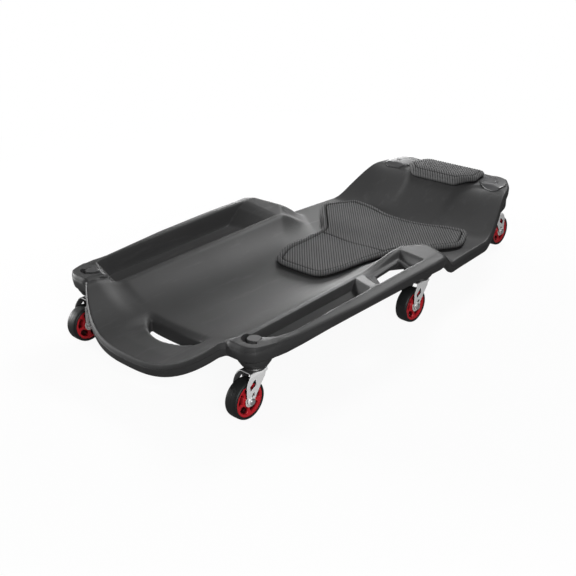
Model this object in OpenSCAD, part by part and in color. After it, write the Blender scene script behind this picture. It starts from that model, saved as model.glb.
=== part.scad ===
// Mechanic creeper: a low, dished plastic deck on six swivel castors, with a back pad and a head pad.
// x runs from the foot end to the head end, y across, z up from the floor.
// Places along the deck are measured from the foot castors' swivel axis.

/* [Deck plan] */
// How far the foot lip reaches beyond the foot castors' axis
foot_reach = 106; // [90:1:125]
// From the foot castors' axis to the head end of the deck
head_reach = 1000; // [985:5:1015]
// Width over the raised wings
wing_w = 572; // [540:2:620]
// Width over the shoulders, behind the wings
shoulder_w = 474; // [440:2:500]
// Width between the two corners of the head end
head_w = 300; // [280:2:320]
// Width of the dished middle between the two crests
bowl_w = 358; // [340:2:372]
// Radius of the rounded corner round each foot castor
corner_r = 40; // [36:1:44]

/* [Deck heights] */
// Height of the foot lip's upper edge at the middle
lip_z = 75; // [70:1:85]
// Height of the flat foot corners
corner_z = 145; // [139:1:151]
// Height of the wings' outer rim
wing_z = 160; // [152:1:168]
// Height of the crest beside the bowl, at its foot end
crest_z = 122; // [116:1:128]
// Height of the shoulders' rim
shoulder_z = 98; // [92:1:104]
// Height of the middle of the deck under the back pad
bowl_z = 86; // [82:1:90]
// Height of the rim at the head end
head_z = 178; // [170:1:190]
// Thickness of the deck in the bowl
deck_t = 26; // [22:1:30]
// Depth of the outer wall under the rim
wall_h = 32; // [27:1:37]

/* [Tool trays] */
// Height of the tray floor at the foot end
tray_floor_z = 105; // [100:1:110]
// Rise of the tray floor to its head end
tray_rise = 14; // [0:1:18]
// Where the trays begin, from the foot castors' axis
tray_start = 28; // [24:1:40]
// Where the long tray ends
long_tray_end = 500; // [440:5:500]
// Where the short tray ends, at the crest
short_tray_end = 340; // [280:5:345]

/* [Hand holes] */
// Length of the foot hand hole, across the deck
foot_slot_l = 148; // [130:2:160]
// Width of the foot hand hole at its middle
foot_slot_w = 44; // [36:1:50]
// Where the straight edge of the foot hand hole lies
foot_slot_x = 20; // [12:1:26]
// Where the side hand hole begins, at the crest
side_slot_start = 380; // [372:1:386]
// Length of the side hand hole at the crest
side_slot_l = 80; // [66:1:84]

/* [Castors] */
// Distance across between the foot castors' axes
foot_castor_track = 448; // [430:2:460]
// Distance across between the middle castors' axes
mid_castor_track = 440; // [420:2:450]
// Distance across between the head castors' axes
head_castor_track = 256; // [236:2:270]
// From the foot castors' axis to the middle castors' axis
mid_castor_x = 509; // [480:1:520]
// From the foot castors' axis to the head castors' axis
head_castor_x = 965; // [950:1:970]
// Wheel diameter
wheel_d = 75; // [72:1:78]
// Width of the tyre
tyre_w = 25.4; // [22:0.2:27]
// Diameter of the hub that carries the tyre
hub_d = 60; // [54:1:64]
// How far the wheel's axle trails behind the swivel axis
trail = 27; // [24:1:30]
// Height of the castor seats under the deck
seat_z = 95; // [94:1:97]
// Thickness of the fork's steel
fork_t = 2.5; // [2:0.1:3]
// Diameter of the kingpin that the fork turns on
kingpin_d = 12; // [10:0.5:13]
// Diameter of the threaded stem above the kingpin
stem_d = 10; // [8:0.5:11]
// Length of the threaded stem above the castor seat
stem_l = 24; // [18:1:26]
// Diameter of the moulded-in threaded insert
insert_d = 18; // [15:0.5:20]
// Diameter of the axle bolt
axle_d = 8; // [6:0.5:9]
// Outer diameter of the axle sleeve that the hub turns on
sleeve_d = 13; // [11:0.5:15]
// Number of spokes in a hub
spokes = 5; // [4:1:7]
// Number of balls in a swivel race
race_balls = 12; // [8:1:14]

/* [Pads] */
// Where the back pad begins, from the foot castors' axis
back_pad_x = 367; // [350:1:380]
// Length of the back pad
back_pad_l = 420; // [390:1:425]
// Width of the back pad across the shoulders
back_pad_w = 416; // [380:2:430]
// Thickness of the back pad at its rolled border
back_pad_t = 11; // [9:0.5:16]
// Where the head pad begins, from the foot castors' axis
head_pad_x = 884; // [876:1:890]
// Length of the head pad
head_pad_l = 108; // [90:1:110]
// Width of the head pad
head_pad_w = 202; // [180:2:204]
// Thickness of the head pad at its crown
head_pad_t = 18; // [12:0.5:22]

/* [Corner covers] */
// Thickness of a corner cover
cover_t = 3; // [2:0.5:4]
// Diameter of a cover screw's head
screw_head_d = 6; // [5:0.5:8]

/* [Hidden] */
$fn = 64;

// Overrun of a cut past the face that it opens
cut = 1;
// Running clearance between a turning part and its pin, on the radius
run_gap = 0.05;
// Clearance between parts that turn past each other
turn_gap = 0.3;
// Radius of the wheel
wheel_r = wheel_d / 2;
// The object's middle, half way between the foot lip and the head wheels' tips
middle_x = (head_castor_x + trail + wheel_r - foot_reach) / 2;

// Half widths of the deck
wing_hw = wing_w / 2;
shoulder_hw = shoulder_w / 2;
head_hw = head_w / 2;
bowl_hw = bowl_w / 2;
foot_y = foot_castor_track / 2;
// Corner of the plan, half way round the foot castor's arc
arc_share = sqrt(1 / 2);
corner_x = -corner_r * arc_share;
// Width of the rim's rounded edge
edge_w = 6;
// Where the foot lip's curve meets the corner's flat end
bay_y = foot_y - corner_r * 0.75;
// How sharply the foot lip is bowed
lip_bow_share = 2.6;
// Drop of the edge's parting line below the rim, round the ends and along the wings
end_drop = 8;
wing_drop = 4;
// Where the wings end, and where the shoulders begin
wing_end = head_reach * 0.5;
arm_end = head_reach * 0.6;
shoulder_start = head_reach * 0.645;
arm_hw = shoulder_hw * 1.02;
// The wing's end edge runs inwards and to the head from the rim's corner, then back along the crest
end_lean_share = 0.56;
end_in_y = bowl_hw * 1.15;
// How far the wing's end slope runs down to the shoulder
end_run = 85;
// Where the deck starts to rise to the head, and where it is up
ramp_start = head_reach * 0.768;
ramp_end = head_reach * 0.914;
// Corner of the head end, where the outline turns in
head_corner_x = head_reach - edge_w * 2;

// Smooth step from 0 at a to 1 at b
function ease(a, b, x) = let (u = max(0, min(1, (x - a) / (b - a)))) u * u * (3 - 2 * u);
// Straight step from 0 at a to 1 at b
function ramp(a, b, x) = max(0, min(1, (x - a) / (b - a)));
// Value between a and b by a share k
function mix(a, b, k) = a + (b - a) * k;

// Outline of the wings and of the shoulders: [share of the length, share of the half width]
wing_outline_shares = [[0.15, 0.944], [0.46, 0.991], [0.78, 1], [1, 1]];
rise_outline_shares = [[0, 0.975], [0.37, 0.928], [0.61, 0.882], [0.82, 0.84], [1.04, 0.802], [1.15, 0.776]];
neck_in_share = 1.14;
// Outer half width of the deck at x, between the foot corner and the head corner
function half_w(x) =
    x < 0 ? foot_y + sqrt(pow(corner_r, 2) - pow(max(x, corner_x), 2)) :
    lookup(x, concat(
        [[0, foot_y + corner_r]],
        [for (s = wing_outline_shares) [wing_end * s[0], wing_hw * s[1]]],
        [[arm_end, arm_hw], [shoulder_start, shoulder_hw]],
        [for (s = rise_outline_shares) [mix(ramp_start, ramp_end, s[0]), shoulder_hw * s[1]]],
        [[mix(ramp_start, ramp_end, 1.32), head_hw * neck_in_share], [head_corner_x, head_hw]]));
// Foot end of the outline at y
function foot_edge(y) =
    abs(y) < foot_y ? -foot_reach + (foot_reach - corner_r) * pow(min(1, abs(y) / bay_y), lip_bow_share)
    : -sqrt(max(0, corner_r * corner_r - pow(abs(y) - foot_y, 2)));
// Head end of the outline at y
function head_edge(y) = mix(head_reach, head_corner_x, pow(min(1, abs(y) / head_hw), 3));
// Half width of the bowl between the crests, a little wider at the foot corners
function crest_y(x) = mix(bowl_hw * 1.075, min(bowl_hw, half_w(x) * bowl_w / shoulder_w),
    ease(0, corner_r * 1.2, x));

// Height of the deck's middle line
function middle_z(x) =
    lookup(x, [[-foot_reach, lip_z], [foot_slot_x, mix(lip_z, bowl_z, 0.45)],
        [back_pad_x, mix(lip_z, bowl_z, 0.82)], [shoulder_start, bowl_z]])
    + (head_z - bowl_z - edge_w) * ease(ramp_start, ramp_end, x)
    + edge_w / 2 * ramp(ramp_end, head_reach, x);
// Rise of the rim's top and of its underside: [share of the wing's length, share of the way up to the wing]
rim_rise_shares = [[0, 0], [0.15, 0.25], [0.46, 0.55], [0.6, 0.7], [0.78, 0.9], [1, 0.98]];
under_rise_shares = [[0, 0], [0.15, 0.27], [0.46, 1.07], [0.78, 1.2], [1, 1.07]];
// Height of the rim along the wings and of its underside, and of the rim along the shoulders and the head
function wing_rim_z(x) = mix(corner_z, wing_z, lookup(x / wing_end, rim_rise_shares));
function rim_under_z(x) = mix(corner_z, wing_z, lookup(x / wing_end, under_rise_shares)) - wall_h;
function shoulder_rim_z(x) = mix(shoulder_z, head_z - edge_w, ease(ramp_start, ramp_end, x))
    + edge_w * ramp(ramp_end, head_reach, x);
// Share of the wing's form that is left: 1 along the wings, 0 at the shoulders
function end_edge(y) = wing_end + (wing_hw - max(y, end_in_y)) * end_lean_share - max(0, end_in_y - y);
function wing_share(x, y) =
    1 - ease(0, end_run + max(0, end_in_y - abs(y)) * 0.4, x - end_edge(abs(y)));
function rim_z(x) = mix(shoulder_rim_z(x), wing_rim_z(x), wing_share(x, half_w(x)));
// Height of the crest; on the right hand side it climbs to the wing's flat by the side hand hole
crest_rise_share = 0.34;
function crest_h(x, y) =
    mix(mix(corner_z - edge_w, crest_z, ease(-corner_r * 0.6, tray_start * 1.36, x)),
        crest_z * 1.115, ramp(tray_start, wing_end, x))
    + (y < 0 ? (wing_z - crest_z) * crest_rise_share
        * ease(side_slot_start - side_run, side_slot_start + side_slot_l * 1.31, x) : 0);

// Fall of the rim towards the tray beside it
rim_fall = 1.5;
// Height between the crest and the rim: a flat top round the foot castors, and a slope along the wings
function flank_z(x, y) = let (
        h = half_w(x),
        c = crest_y(x),
        b = (abs(y) - c) / (h - c),
        reach = (tray_out(x) - c) / (h - c),
        rim = wing_rim_z(x),
        lip = rim - rim_fall * ease(0, tray_start * 2, x),
        flat = mix(corner_z - edge_w, corner_z, ramp(0, 0.07, b)),
        slope = b < reach ? mix(crest_h(x, y), lip, ramp(0, reach, b))
            : mix(lip, rim, ramp(reach, 1 - edge_w / (h - c), b)))
    mix(flat, slope, ease(0, tray_start, x));
// Height across the bowl along the wings, and across the shoulders and the head
function wing_form(x, y) = let (c = crest_y(x))
    abs(y) < c ? mix(middle_z(x), crest_h(x, y), pow(abs(y) / c, 3)) : flank_z(x, y);
function shoulder_form(x, y) =
    mix(middle_z(x), shoulder_rim_z(x), pow(min(1, abs(y) / (half_w(x) - edge_w)), 3));
// Shallow round dishes for the shoulder blades in the rise to the head
dish_x = mix(ramp_start, ramp_end, 0.56);
dish_y = 140;
dish_r = 75;
dish_d = 9;
function dish_z(x, y) = let (r = norm([x - dish_x, abs(y) - dish_y]))
    dish_d * (1 - pow(min(1, r / dish_r), 4)) * ramp(0, dish_r, dish_r - r + edge_w * 2);
// Finger scoop on the foot side of the foot hand hole
scoop_d = 7;
scoop_l = 84;
function scoop_z(x, y) = scoop_d * ramp(foot_slot_x - scoop_l, foot_slot_x - scoop_d, x)
    * (x > foot_slot_x ? 0 : 1)
    * (1 - ease(foot_slot_l * 0.42, foot_slot_l * 0.62, abs(y)));
function form_z(x, y) =
    mix(shoulder_form(x, y), wing_form(x, y), wing_share(x, y)) - dish_z(x, y) - scoop_z(x, y);

// Depth share of a pocket in a wing at x and half width y: 0 outside it, 1 on its floor.
// Its two ends are slanted, and its walls run down over the four lengths in runs.
tray_in = bowl_hw * 1.01;
// The pockets' outer edge: [share of the wing's length, share of its half width]; it stays short of the outline
tray_out_shares = [[0.056, 0.874], [0.12, 0.895], [0.2, 0.902], [0.4, 0.904], [0.7, 0.909], [1, 0.913]];
function tray_out(x) = let (h = half_w(x))
    min(wing_hw * lookup(x / wing_end, tray_out_shares), h - (h - crest_y(x)) * 0.14);
function pocket(x, y, ends, slants, runs) = let (k = (y - tray_in) / (tray_out(x) - tray_in))
    max(0, min(1, (y - tray_in) / runs[2], (tray_out(x) - y) / runs[3],
        (x - ends[0] + slants[0] * k) / runs[0], (ends[1] - slants[1] * k - x) / runs[1]));
// Runs of the trays' walls: beside the crest and the rim, and at their foot end and the long tray's head end
side_run = 8;
in_run = 5.6;
out_run = 8.8;
foot_run = 26;
head_run = 68;
head_slant = 20;
// How far the trays' foot end lies ahead at the crest
foot_lean = 14;
foot_slant = -foot_lean * 1.2;
// Slant of the wall between the short tray and the recess of the side hand hole, and the recess's end walls
slant = 56;
recess_run = 14;
recess_slant = 30;
long_tray = [tray_start - foot_lean, long_tray_end];
short_tray = [tray_start - foot_lean, short_tray_end];
recess = [side_slot_start - side_slot_l * 0.25, side_slot_start + side_slot_l * 1.39];
function tray_share(x, y) = y > 0
    ? pocket(x, y, long_tray, [foot_slant, head_slant], [foot_run, head_run, in_run, out_run])
    : pocket(x, -y, short_tray, [foot_slant, slant], [foot_run, side_run * 2, in_run, out_run]);
function recess_share(x, y) = y > 0 ? 0
    : pocket(x, -y, recess, [slant, recess_slant], [recess_run, recess_run, side_run * 1.25, edge_w]);
function tray_floor(x) = tray_floor_z + tray_rise * ramp(tray_start, long_tray_end, x);
recess_floor = wing_z * 0.8125;
recess_rise = 6;
// Thickness of the deck under the recess
recess_t = 9;
function recess_z(x) = recess_floor + recess_rise * ramp(side_slot_start, side_slot_start + side_slot_l, x);

// Upper surface of the deck
function top_z(x, y) = let (z = form_z(x, y))
    mix(mix(z, tray_floor(x), tray_share(x, y)), min(z, recess_z(x)), recess_share(x, y));
// Lower surface of the deck
function bottom_z(x, y) = let (
        under_bowl = form_z(x, y) - deck_t,
        floor = tray_floor(x) - edge_w,
        rim_under = rim_under_z(x),
        out = tray_out(x),
        k = abs(y),
        under_wing = k < crest_y(x) ? under_bowl
            : k < out - side_run ? mix(crest_h(x, y) - deck_t, floor, ramp(0, side_run, k - crest_y(x)))
            : mix(floor, rim_under, ramp(out - side_run, half_w(x) - edge_w, k)),
        corner = mix(rim_under, under_wing, k < crest_y(x) ? 1 : ease(-edge_w, tray_start * 1.5, x)))
    mix(mix(under_bowl, corner, wing_share(x, y)), recess_z(x) - recess_t, recess_share(x, y));

// Grid of the deck: stations along it, and lines across it from the middle to the outer edge.
// Between two named places the stations are shares of the way.
function between(a, b, shares) = [for (k = shares) mix(a, b, k)];
corner_shares = [0.196, 0.385, 0.622, 0.834];
tray_shares = [0.03, 0.066, 0.108, 0.177, 0.266, 0.371, 0.476, 0.581, 0.677, 0.74, 0.79, 0.838, 0.886, 0.94];
hole_shares = [0.154, 0.308, 0.462, 0.577, 0.692, 0.8, 0.9];
arm_shares = [0.13, 0.27, 0.41, 0.55, 0.69, 0.85];
shoulder_shares = [0.29, 0.62];
middle_shares = [0.2, 0.45, 0.73];
rise_shares = [0.065, 0.136, 0.206, 0.276, 0.346, 0.416, 0.486, 0.556, 0.626, 0.7, 0.785, 0.874, 0.953];
stations = concat([corner_x, corner_x + edge_w], between(corner_x + edge_w, foot_slot_x, corner_shares),
    [foot_slot_x, tray_start, tray_start + side_run],
    between(tray_start + side_run, side_slot_start - side_run, tray_shares),
    [side_slot_start - side_run], between(side_slot_start - side_run, wing_end, hole_shares),
    [wing_end], between(wing_end, arm_end, arm_shares),
    [arm_end], between(arm_end, shoulder_start, shoulder_shares),
    [shoulder_start], between(shoulder_start, ramp_start, middle_shares),
    [ramp_start], between(ramp_start, head_corner_x - edge_w, rise_shares),
    [head_corner_x - edge_w, head_corner_x]);
// A line is [share of the way to the crest, share from there to the tray's outer edge, share on to the rim]
half_shares = [[0, 0, 0], [0.2, 0, 0], [0.38, 0, 0], [0.53, 0, 0], [0.66, 0, 0], [0.77, 0, 0], [0.86, 0, 0],
    [0.94, 0, 0], [1, 0, 0], [1, 0.025, 0], [1, 0.1, 0], [1, 0.5, 0], [1, 0.88, 0], [1, 1, 0], [1, 1, 0.4],
    [1, 1, 0.79], [1, 1, 1]];
lines = concat([for (k = [len(half_shares) - 1:-1:1]) [-1, half_shares[k]]], [for (h = half_shares) [1, h]]);
last_i = len(stations) - 1;
last_j = len(lines) - 1;
function line_y(x, line) = let (s = line[1])
    line[0] * (s[0] * crest_y(x) + s[1] * (tray_out(x) - crest_y(x)) + s[2] * (half_w(x) - tray_out(x)));
// The end stations are bent to the outline's two ends
function plan(i, j) = let (
        s = stations[i],
        y = line_y(s, lines[j]),
        to_foot = 1 - ramp(corner_x + edge_w, foot_slot_x, s),
        to_head = ramp(head_corner_x - foot_reach, head_corner_x - edge_w, s))
    [s + (foot_edge(y) - corner_x) * to_foot + (head_edge(y) - head_corner_x) * to_head, y];
function on_edge(i, j) = i == 0 || j == 0 || i == last_i || j == last_j;
function edge_drop(x) = mix(end_drop, wing_drop, ease(-corner_r, tray_start, x) * wing_share(x, half_w(x)));
// Height of the rim's outermost line: the surface one edge width further in, less the drop
function crease_z(x, y) = let (k = 1 - edge_w / half_w(x))
    form_z(x, y * k) - edge_drop(x);
top_points = [for (i = [0:last_i]) for (j = [0:last_j]) let (p = plan(i, j))
    [p.x, p.y, on_edge(i, j) ? crease_z(p.x, p.y) : top_z(p.x, p.y)]];
bottom_points = [for (i = [1:last_i - 1]) for (j = [1:last_j - 1]) let (p = plan(i, j))
    [p.x, p.y, bottom_z(p.x, p.y)]];
top_size = (last_i + 1) * (last_j + 1);
function top_id(i, j) = i * (last_j + 1) + j;
function bottom_id(i, j) = on_edge(i, j) ? top_id(i, j) : top_size + (i - 1) * (last_j - 1) + j - 1;
// Two triangles of a grid cell a, b, c, d; two of the plan's corners are split along the other diagonal
function split(i, j, a, b, c, d) = (i == 0 && j == last_j - 1) || (i == last_i - 1 && j == 0) ?
    [[a, b, d], [b, c, d]] : [[a, b, c], [a, c, d]];
top_faces = [for (i = [0:last_i - 1]) for (j = [0:last_j - 1]) each
    split(i, j, top_id(i, j), top_id(i, j + 1), top_id(i + 1, j + 1), top_id(i + 1, j))];
bottom_faces = [for (i = [0:last_i - 1]) for (j = [0:last_j - 1])
    for (f = split(i, j, bottom_id(i, j), bottom_id(i, j + 1), bottom_id(i + 1, j + 1), bottom_id(i + 1, j)))
        [f[0], f[2], f[1]]];

module in_place() {
    translate([-middle_x, 0, 0]) children();
}

// Places of the six castors: axis, and the side that the wheel trails to
castors = [[0, foot_y, -1], [0, -foot_y, -1],
    [mid_castor_x, mid_castor_track / 2, -1], [mid_castor_x, -mid_castor_track / 2, -1],
    [head_castor_x, head_castor_track / 2, 1], [head_castor_x, -head_castor_track / 2, 1]];
module at_castors() {
    for (c = castors) translate([c[0], c[1], 0]) children();
}

// Round seat that hangs under the deck and holds a castor's insert
seat_r = 32;
seat_h = 17;
seat_shares = [[0.69, 0], [0.78, 0.12], [0.875, 0.41], [1, 1]];
module castor_seat(top) {
    rotate_extrude() polygon(concat([[0, seat_z]],
        [for (s = seat_shares) [seat_r * s[0], seat_z + seat_h * s[1]]], [[seat_r, top], [0, top]]));
}
// Half-round groove round the plug on top of a foot corner
groove_r = 23;
plug_r = 13;
groove_d = 12;
plug_d = 6;
// Width of the deck's ring between a plug and the groove
plug_land = 1;
module corner_groove(turn) {
    translate([0, 0, corner_z - groove_d]) rotate(turn) difference() {
        cylinder(r = groove_r, h = groove_d + cut);
        translate([0, 0, -cut]) cylinder(r = plug_r + plug_land, h = groove_d + cut * 3);
        translate([0, -groove_r - cut, -cut])
            cube([groove_r + cut, (groove_r + cut) * 2, groove_d + cut * 3]);
    }
}
groove_turn = 34;

// Foot hand hole: straight on the head side, bowed on the foot side
module foot_hole() {
    bow_r = (pow(foot_slot_l / 2, 2) + pow(foot_slot_w, 2)) / (2 * foot_slot_w);
    translate([0, 0, lip_z - wall_h - deck_t]) linear_extrude(wall_h + deck_t * 3) intersection() {
        translate([foot_slot_x - foot_slot_w + bow_r, 0]) circle(r = bow_r, $fn = 128);
        translate([foot_slot_x - foot_slot_w, -foot_slot_l / 2]) square([foot_slot_w, foot_slot_l]);
    }
}
// Side hand hole: slanted at its foot end like the tray beside it
slot_in = mix(bowl_hw, wing_hw, 0.196);
slot_out = mix(bowl_hw, wing_hw, 0.636);
module side_hole() {
    translate([0, 0, bowl_z]) linear_extrude(wing_z) polygon([
        [side_slot_start, -slot_in], [side_slot_start + side_slot_l, -slot_in * 0.993],
        [side_slot_start + side_slot_l * 0.74, -slot_out], [side_slot_start - slant * 0.625, -slot_out]]);
}

module deck() {
    color([0.27, 0.27, 0.28]) in_place() difference() {
        union() {
            polyhedron(points = concat(top_points, bottom_points), faces = concat(top_faces, bottom_faces));
            for (c = castors) translate([c[0], c[1], 0])
                castor_seat((c[0] > mid_castor_x ? head_z - deck_t : seat_z + seat_h) + edge_w);
        }
        foot_hole();
        side_hole();
        at_castors() {
            translate([0, 0, seat_z - cut]) cylinder(d = insert_d, h = stem_l + cut);
        }
        for (s = [-1, 1]) translate([0, s * foot_y, 0]) {
            corner_groove(s * -groove_turn);
            translate([0, 0, corner_z - plug_d]) cylinder(r = plug_r, h = plug_d + edge_w);
        }
        for (p = cover_screw_places) for (s = [-1, 1])
            translate([p.x, s * p.y, cover_screw_z(p) - screw_l])
                cylinder(d = screw_d, h = screw_l + cover_t);
    }
}

// Threaded inserts moulded into the six castor seats
module stem_inserts() {
    color([0.74, 0.74, 0.76]) in_place() at_castors() translate([0, 0, seat_z]) difference() {
        cylinder(d = insert_d - run_gap * 2, h = stem_l);
        translate([0, 0, -cut]) cylinder(d = stem_d + run_gap * 2, h = stem_l + cut * 2);
    }
}

// Heights of the castor's swivel: fork crown, race and kingpin head
race_h = 6.7;
crown_top = seat_z - race_h - turn_gap;
crown_low = crown_top - fork_t;
kingpin_head_r = 9;
kingpin_head_h = 3.2;
module kingpins() {
    color([0.8, 0.8, 0.82]) in_place() at_castors() {
        translate([0, 0, crown_low - turn_gap - kingpin_head_h])
            cylinder(r = kingpin_head_r, h = kingpin_head_h);
        translate([0, 0, crown_low - turn_gap]) cylinder(d = kingpin_d, h = seat_z - crown_low + turn_gap);
        translate([0, 0, seat_z]) cylinder(d = stem_d, h = stem_l - cut);
    }
}

// Fixed upper cups of the ball races
ball_r = 2.1;
ball_ring_r = 13;
race_r = 19.5;
race_bevel = 1;
module upper_races() {
    color([0.82, 0.82, 0.84]) in_place() at_castors() translate([0, 0, seat_z - race_h]) difference() {
        rotate_extrude() polygon([[kingpin_d / 2 + run_gap, 0], [race_r - race_bevel, 0],
            [race_r, race_bevel], [race_r, race_h / 2], [race_r * 0.9, race_h],
            [kingpin_d / 2 + run_gap, race_h]]);
        rotate_extrude() translate([ball_ring_r - ball_r - turn_gap, -cut])
            square([(ball_r + turn_gap) * 2, ball_r * 2 + cut]);
    }
}

// Plugs in the tops of the two foot corners, a little below the flat round them
plug_gap = 0.2;
plug_bevel = 1;
module corner_plugs() {
    color([0.2, 0.2, 0.21]) in_place() for (s = [-1, 1]) translate([0, s * foot_y, corner_z - plug_d]) {
        cylinder(r = plug_r - run_gap, h = plug_d - plug_gap - plug_bevel);
        translate([0, 0, plug_d - plug_gap - plug_bevel])
            cylinder(r1 = plug_r - run_gap, r2 = plug_r - plug_bevel, h = plug_bevel);
    }
}

// Castor parts. Each is drawn with its wheel trailing to -x, then placed.
module at_castor(k) {
    in_place() translate([castors[k][0], castors[k][1], 0])
        scale([-castors[k][2], castors[k][1] > 0 ? 1 : -1, 1]) children();
}
// Along the axle, from the wheel's middle; +y is the outer side
module on_axle(y) {
    translate([-trail, y, wheel_r]) rotate([-90, 0, 0]) children();
}
leg_in = 14.5;
leg_out = leg_in + fork_t;
eye_r = 9;
// A leg's outline and its two slots: [share of the trail, share of the height from the axle to the crown]
leg_h = crown_top - wheel_r;
leg_shares = [[-0.889, 1], [-1.296, 0.782], [-1.407, 0.624], [-1.407, 0.406], [-1.333, 0], [-0.667, -0.02],
    [-0.481, 0.178], [-0.074, 0.495], [0.333, 0.792], [0.63, 0.96], [0.63, 1]];
upper_slot_shares = [[-0.63, 0.782], [-0.519, 0.723], [-0.926, 0.446], [-1.111, 0.505]];
lower_slot_shares = [[-0.704, 0.386], [-0.63, 0.327], [-0.889, 0.208], [-1.074, 0.267]];
function on_leg(shares) = [for (s = shares) [trail * s.x, wheel_r + leg_h * s.y]];
module leg_face() {
    difference() {
        union() {
            translate([-trail, wheel_r]) circle(r = eye_r);
            polygon(on_leg(leg_shares));
        }
        translate([-trail, wheel_r]) circle(d = axle_d + run_gap * 2);
        polygon(on_leg(upper_slot_shares));
        polygon(on_leg(lower_slot_shares));
    }
}
// The crown's ends behind and ahead of the swivel axis and at its rounded sides, as shares of the trail
crown_back_share = 0.889;
crown_front_share = 0.63;
crown_side_share = 0.333;
crown_round = 8;
module fork(k) {
    color([0.86, 0.86, 0.87]) at_castor(k) {
        difference() {
            translate([0, 0, crown_low]) linear_extrude(fork_t) union() {
                translate([-trail * crown_back_share, -leg_out])
                    square([trail * (crown_back_share + crown_side_share), leg_out * 2]);
                translate([0, -leg_in]) square([trail * crown_front_share, leg_in * 2]);
                for (s = [-1, 1]) translate([trail * crown_side_share, s * (leg_out - crown_round)])
                    circle(r = crown_round);
            }
            translate([0, 0, crown_low - cut]) cylinder(d = kingpin_d + run_gap * 2, h = fork_t + cut * 2);
        }
        for (y = [-leg_in, leg_out]) translate([0, y, 0]) rotate([90, 0, 0])
            linear_extrude(fork_t) leg_face();
    }
}
module balls(k) {
    color([0.78, 0.78, 0.8]) at_castor(k) for (n = [0:race_balls - 1]) rotate(n * 360 / race_balls)
        translate([ball_ring_r, 0, crown_top + ball_r]) sphere(r = ball_r);
}
bolt_head_h = 4.5;
bolt_head_r = 6.5;
bolt_bevel = 1.5;
nut_h = 6;
nut_r = 7.5;
// How far the bolt reaches past its nut
bolt_end = 1.5;
module axle_bolt(k) {
    color([0.82, 0.82, 0.84]) at_castor(k) {
        on_axle(-leg_out - nut_h - bolt_end) cylinder(d = axle_d, h = leg_out * 2 + nut_h + bolt_end);
        on_axle(leg_out) cylinder(r = bolt_head_r, h = bolt_head_h - bolt_bevel);
        on_axle(leg_out + bolt_head_h - bolt_bevel)
            cylinder(r1 = bolt_head_r, r2 = bolt_head_r * 0.7, h = bolt_bevel);
    }
}
module axle_nut(k) {
    color([0.8, 0.8, 0.82]) at_castor(k) on_axle(-leg_out - nut_h) difference() {
        cylinder(r = nut_r, h = nut_h, $fn = 6);
        translate([0, 0, -cut]) cylinder(d = axle_d + run_gap * 2, h = nut_h + cut * 2);
    }
}
washer_t = 1;
washer_r = 10;
module axle_sleeve(k) {
    color([0.7, 0.7, 0.72]) at_castor(k) on_axle(-leg_in + washer_t) difference() {
        cylinder(d = sleeve_d, h = (leg_in - washer_t) * 2);
        translate([0, 0, -cut]) cylinder(d = axle_d + run_gap * 2, h = leg_in * 2);
    }
}
module thrust_washers(k) {
    color([0.85, 0.85, 0.83]) at_castor(k) for (y = [-leg_in, leg_in - washer_t]) on_axle(y) difference() {
        cylinder(r = washer_r, h = washer_t);
        translate([0, 0, -cut]) cylinder(d = axle_d + run_gap * 2, h = washer_t + cut * 2);
    }
}
hub_r = hub_d / 2;
hub_boss_r = 10.5;
hub_boss_hl = leg_in - washer_t - turn_gap;
hub_rim_t = 4;
flange_t = 1;
flange_h = 1.5;
rim_hw = tyre_w * 0.433;
spoke_w = 7;
spoke_hw = 8;
spoke_turn = 18;
web_t = 3;
module hub(k) {
    color([0.72, 0.1, 0.11]) at_castor(k) on_axle(0) difference() {
        union() {
            rotate_extrude() polygon([[hub_r - hub_rim_t, -rim_hw - flange_t],
                [hub_r + flange_h, -rim_hw - flange_t], [hub_r + flange_h, -rim_hw], [hub_r, -rim_hw],
                [hub_r, rim_hw], [hub_r + flange_h, rim_hw], [hub_r + flange_h, rim_hw + flange_t],
                [hub_r - hub_rim_t, rim_hw + flange_t]]);
            translate([0, 0, -hub_boss_hl]) cylinder(r = hub_boss_r, h = hub_boss_hl * 2);
            translate([0, 0, -web_t / 2]) cylinder(r = hub_r - hub_rim_t / 2, h = web_t);
            for (n = [0:spokes - 1]) rotate(n * 360 / spokes + spoke_turn)
                translate([hub_boss_r * 0.8, -spoke_w / 2, -spoke_hw])
                    cube([hub_r - hub_boss_r, spoke_w, spoke_hw * 2]);
        }
        translate([0, 0, -hub_boss_hl - cut])
            cylinder(d = sleeve_d + run_gap * 2, h = (hub_boss_hl + cut) * 2);
    }
}
// Tyre's outside: [share of its thickness, share of its half width]
tyre_shares = [[0.6, 1], [0.84, 0.906], [0.96, 0.685], [1, 0.5]];
module tyre(k) {
    inner = hub_r + flange_h + run_gap;
    side = [for (s = tyre_shares) [mix(hub_r, wheel_r, s[0]), tyre_w / 2 * s[1]]];
    half = concat([[hub_r + run_gap, rim_hw], [inner, rim_hw], [inner, tyre_w / 2]], side);
    color([0.12, 0.12, 0.12]) at_castor(k) on_axle(0) rotate_extrude() polygon(concat(
        [for (q = half) [q.x, -q.y]], [for (n = [len(half) - 1:-1:0]) half[n]]));
}

// Distance from q to the nearest side of a closed outline, for points inside it
function side_dist(q, a, b) = let (d = b - a, t = max(0, min(1, (q - a) * d / (d * d)))) norm(q - a - d * t);
function edge_dist(q, outline) =
    min([for (k = [0:len(outline) - 1]) side_dist(q, outline[k], outline[(k + 1) % len(outline)])]);
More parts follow.
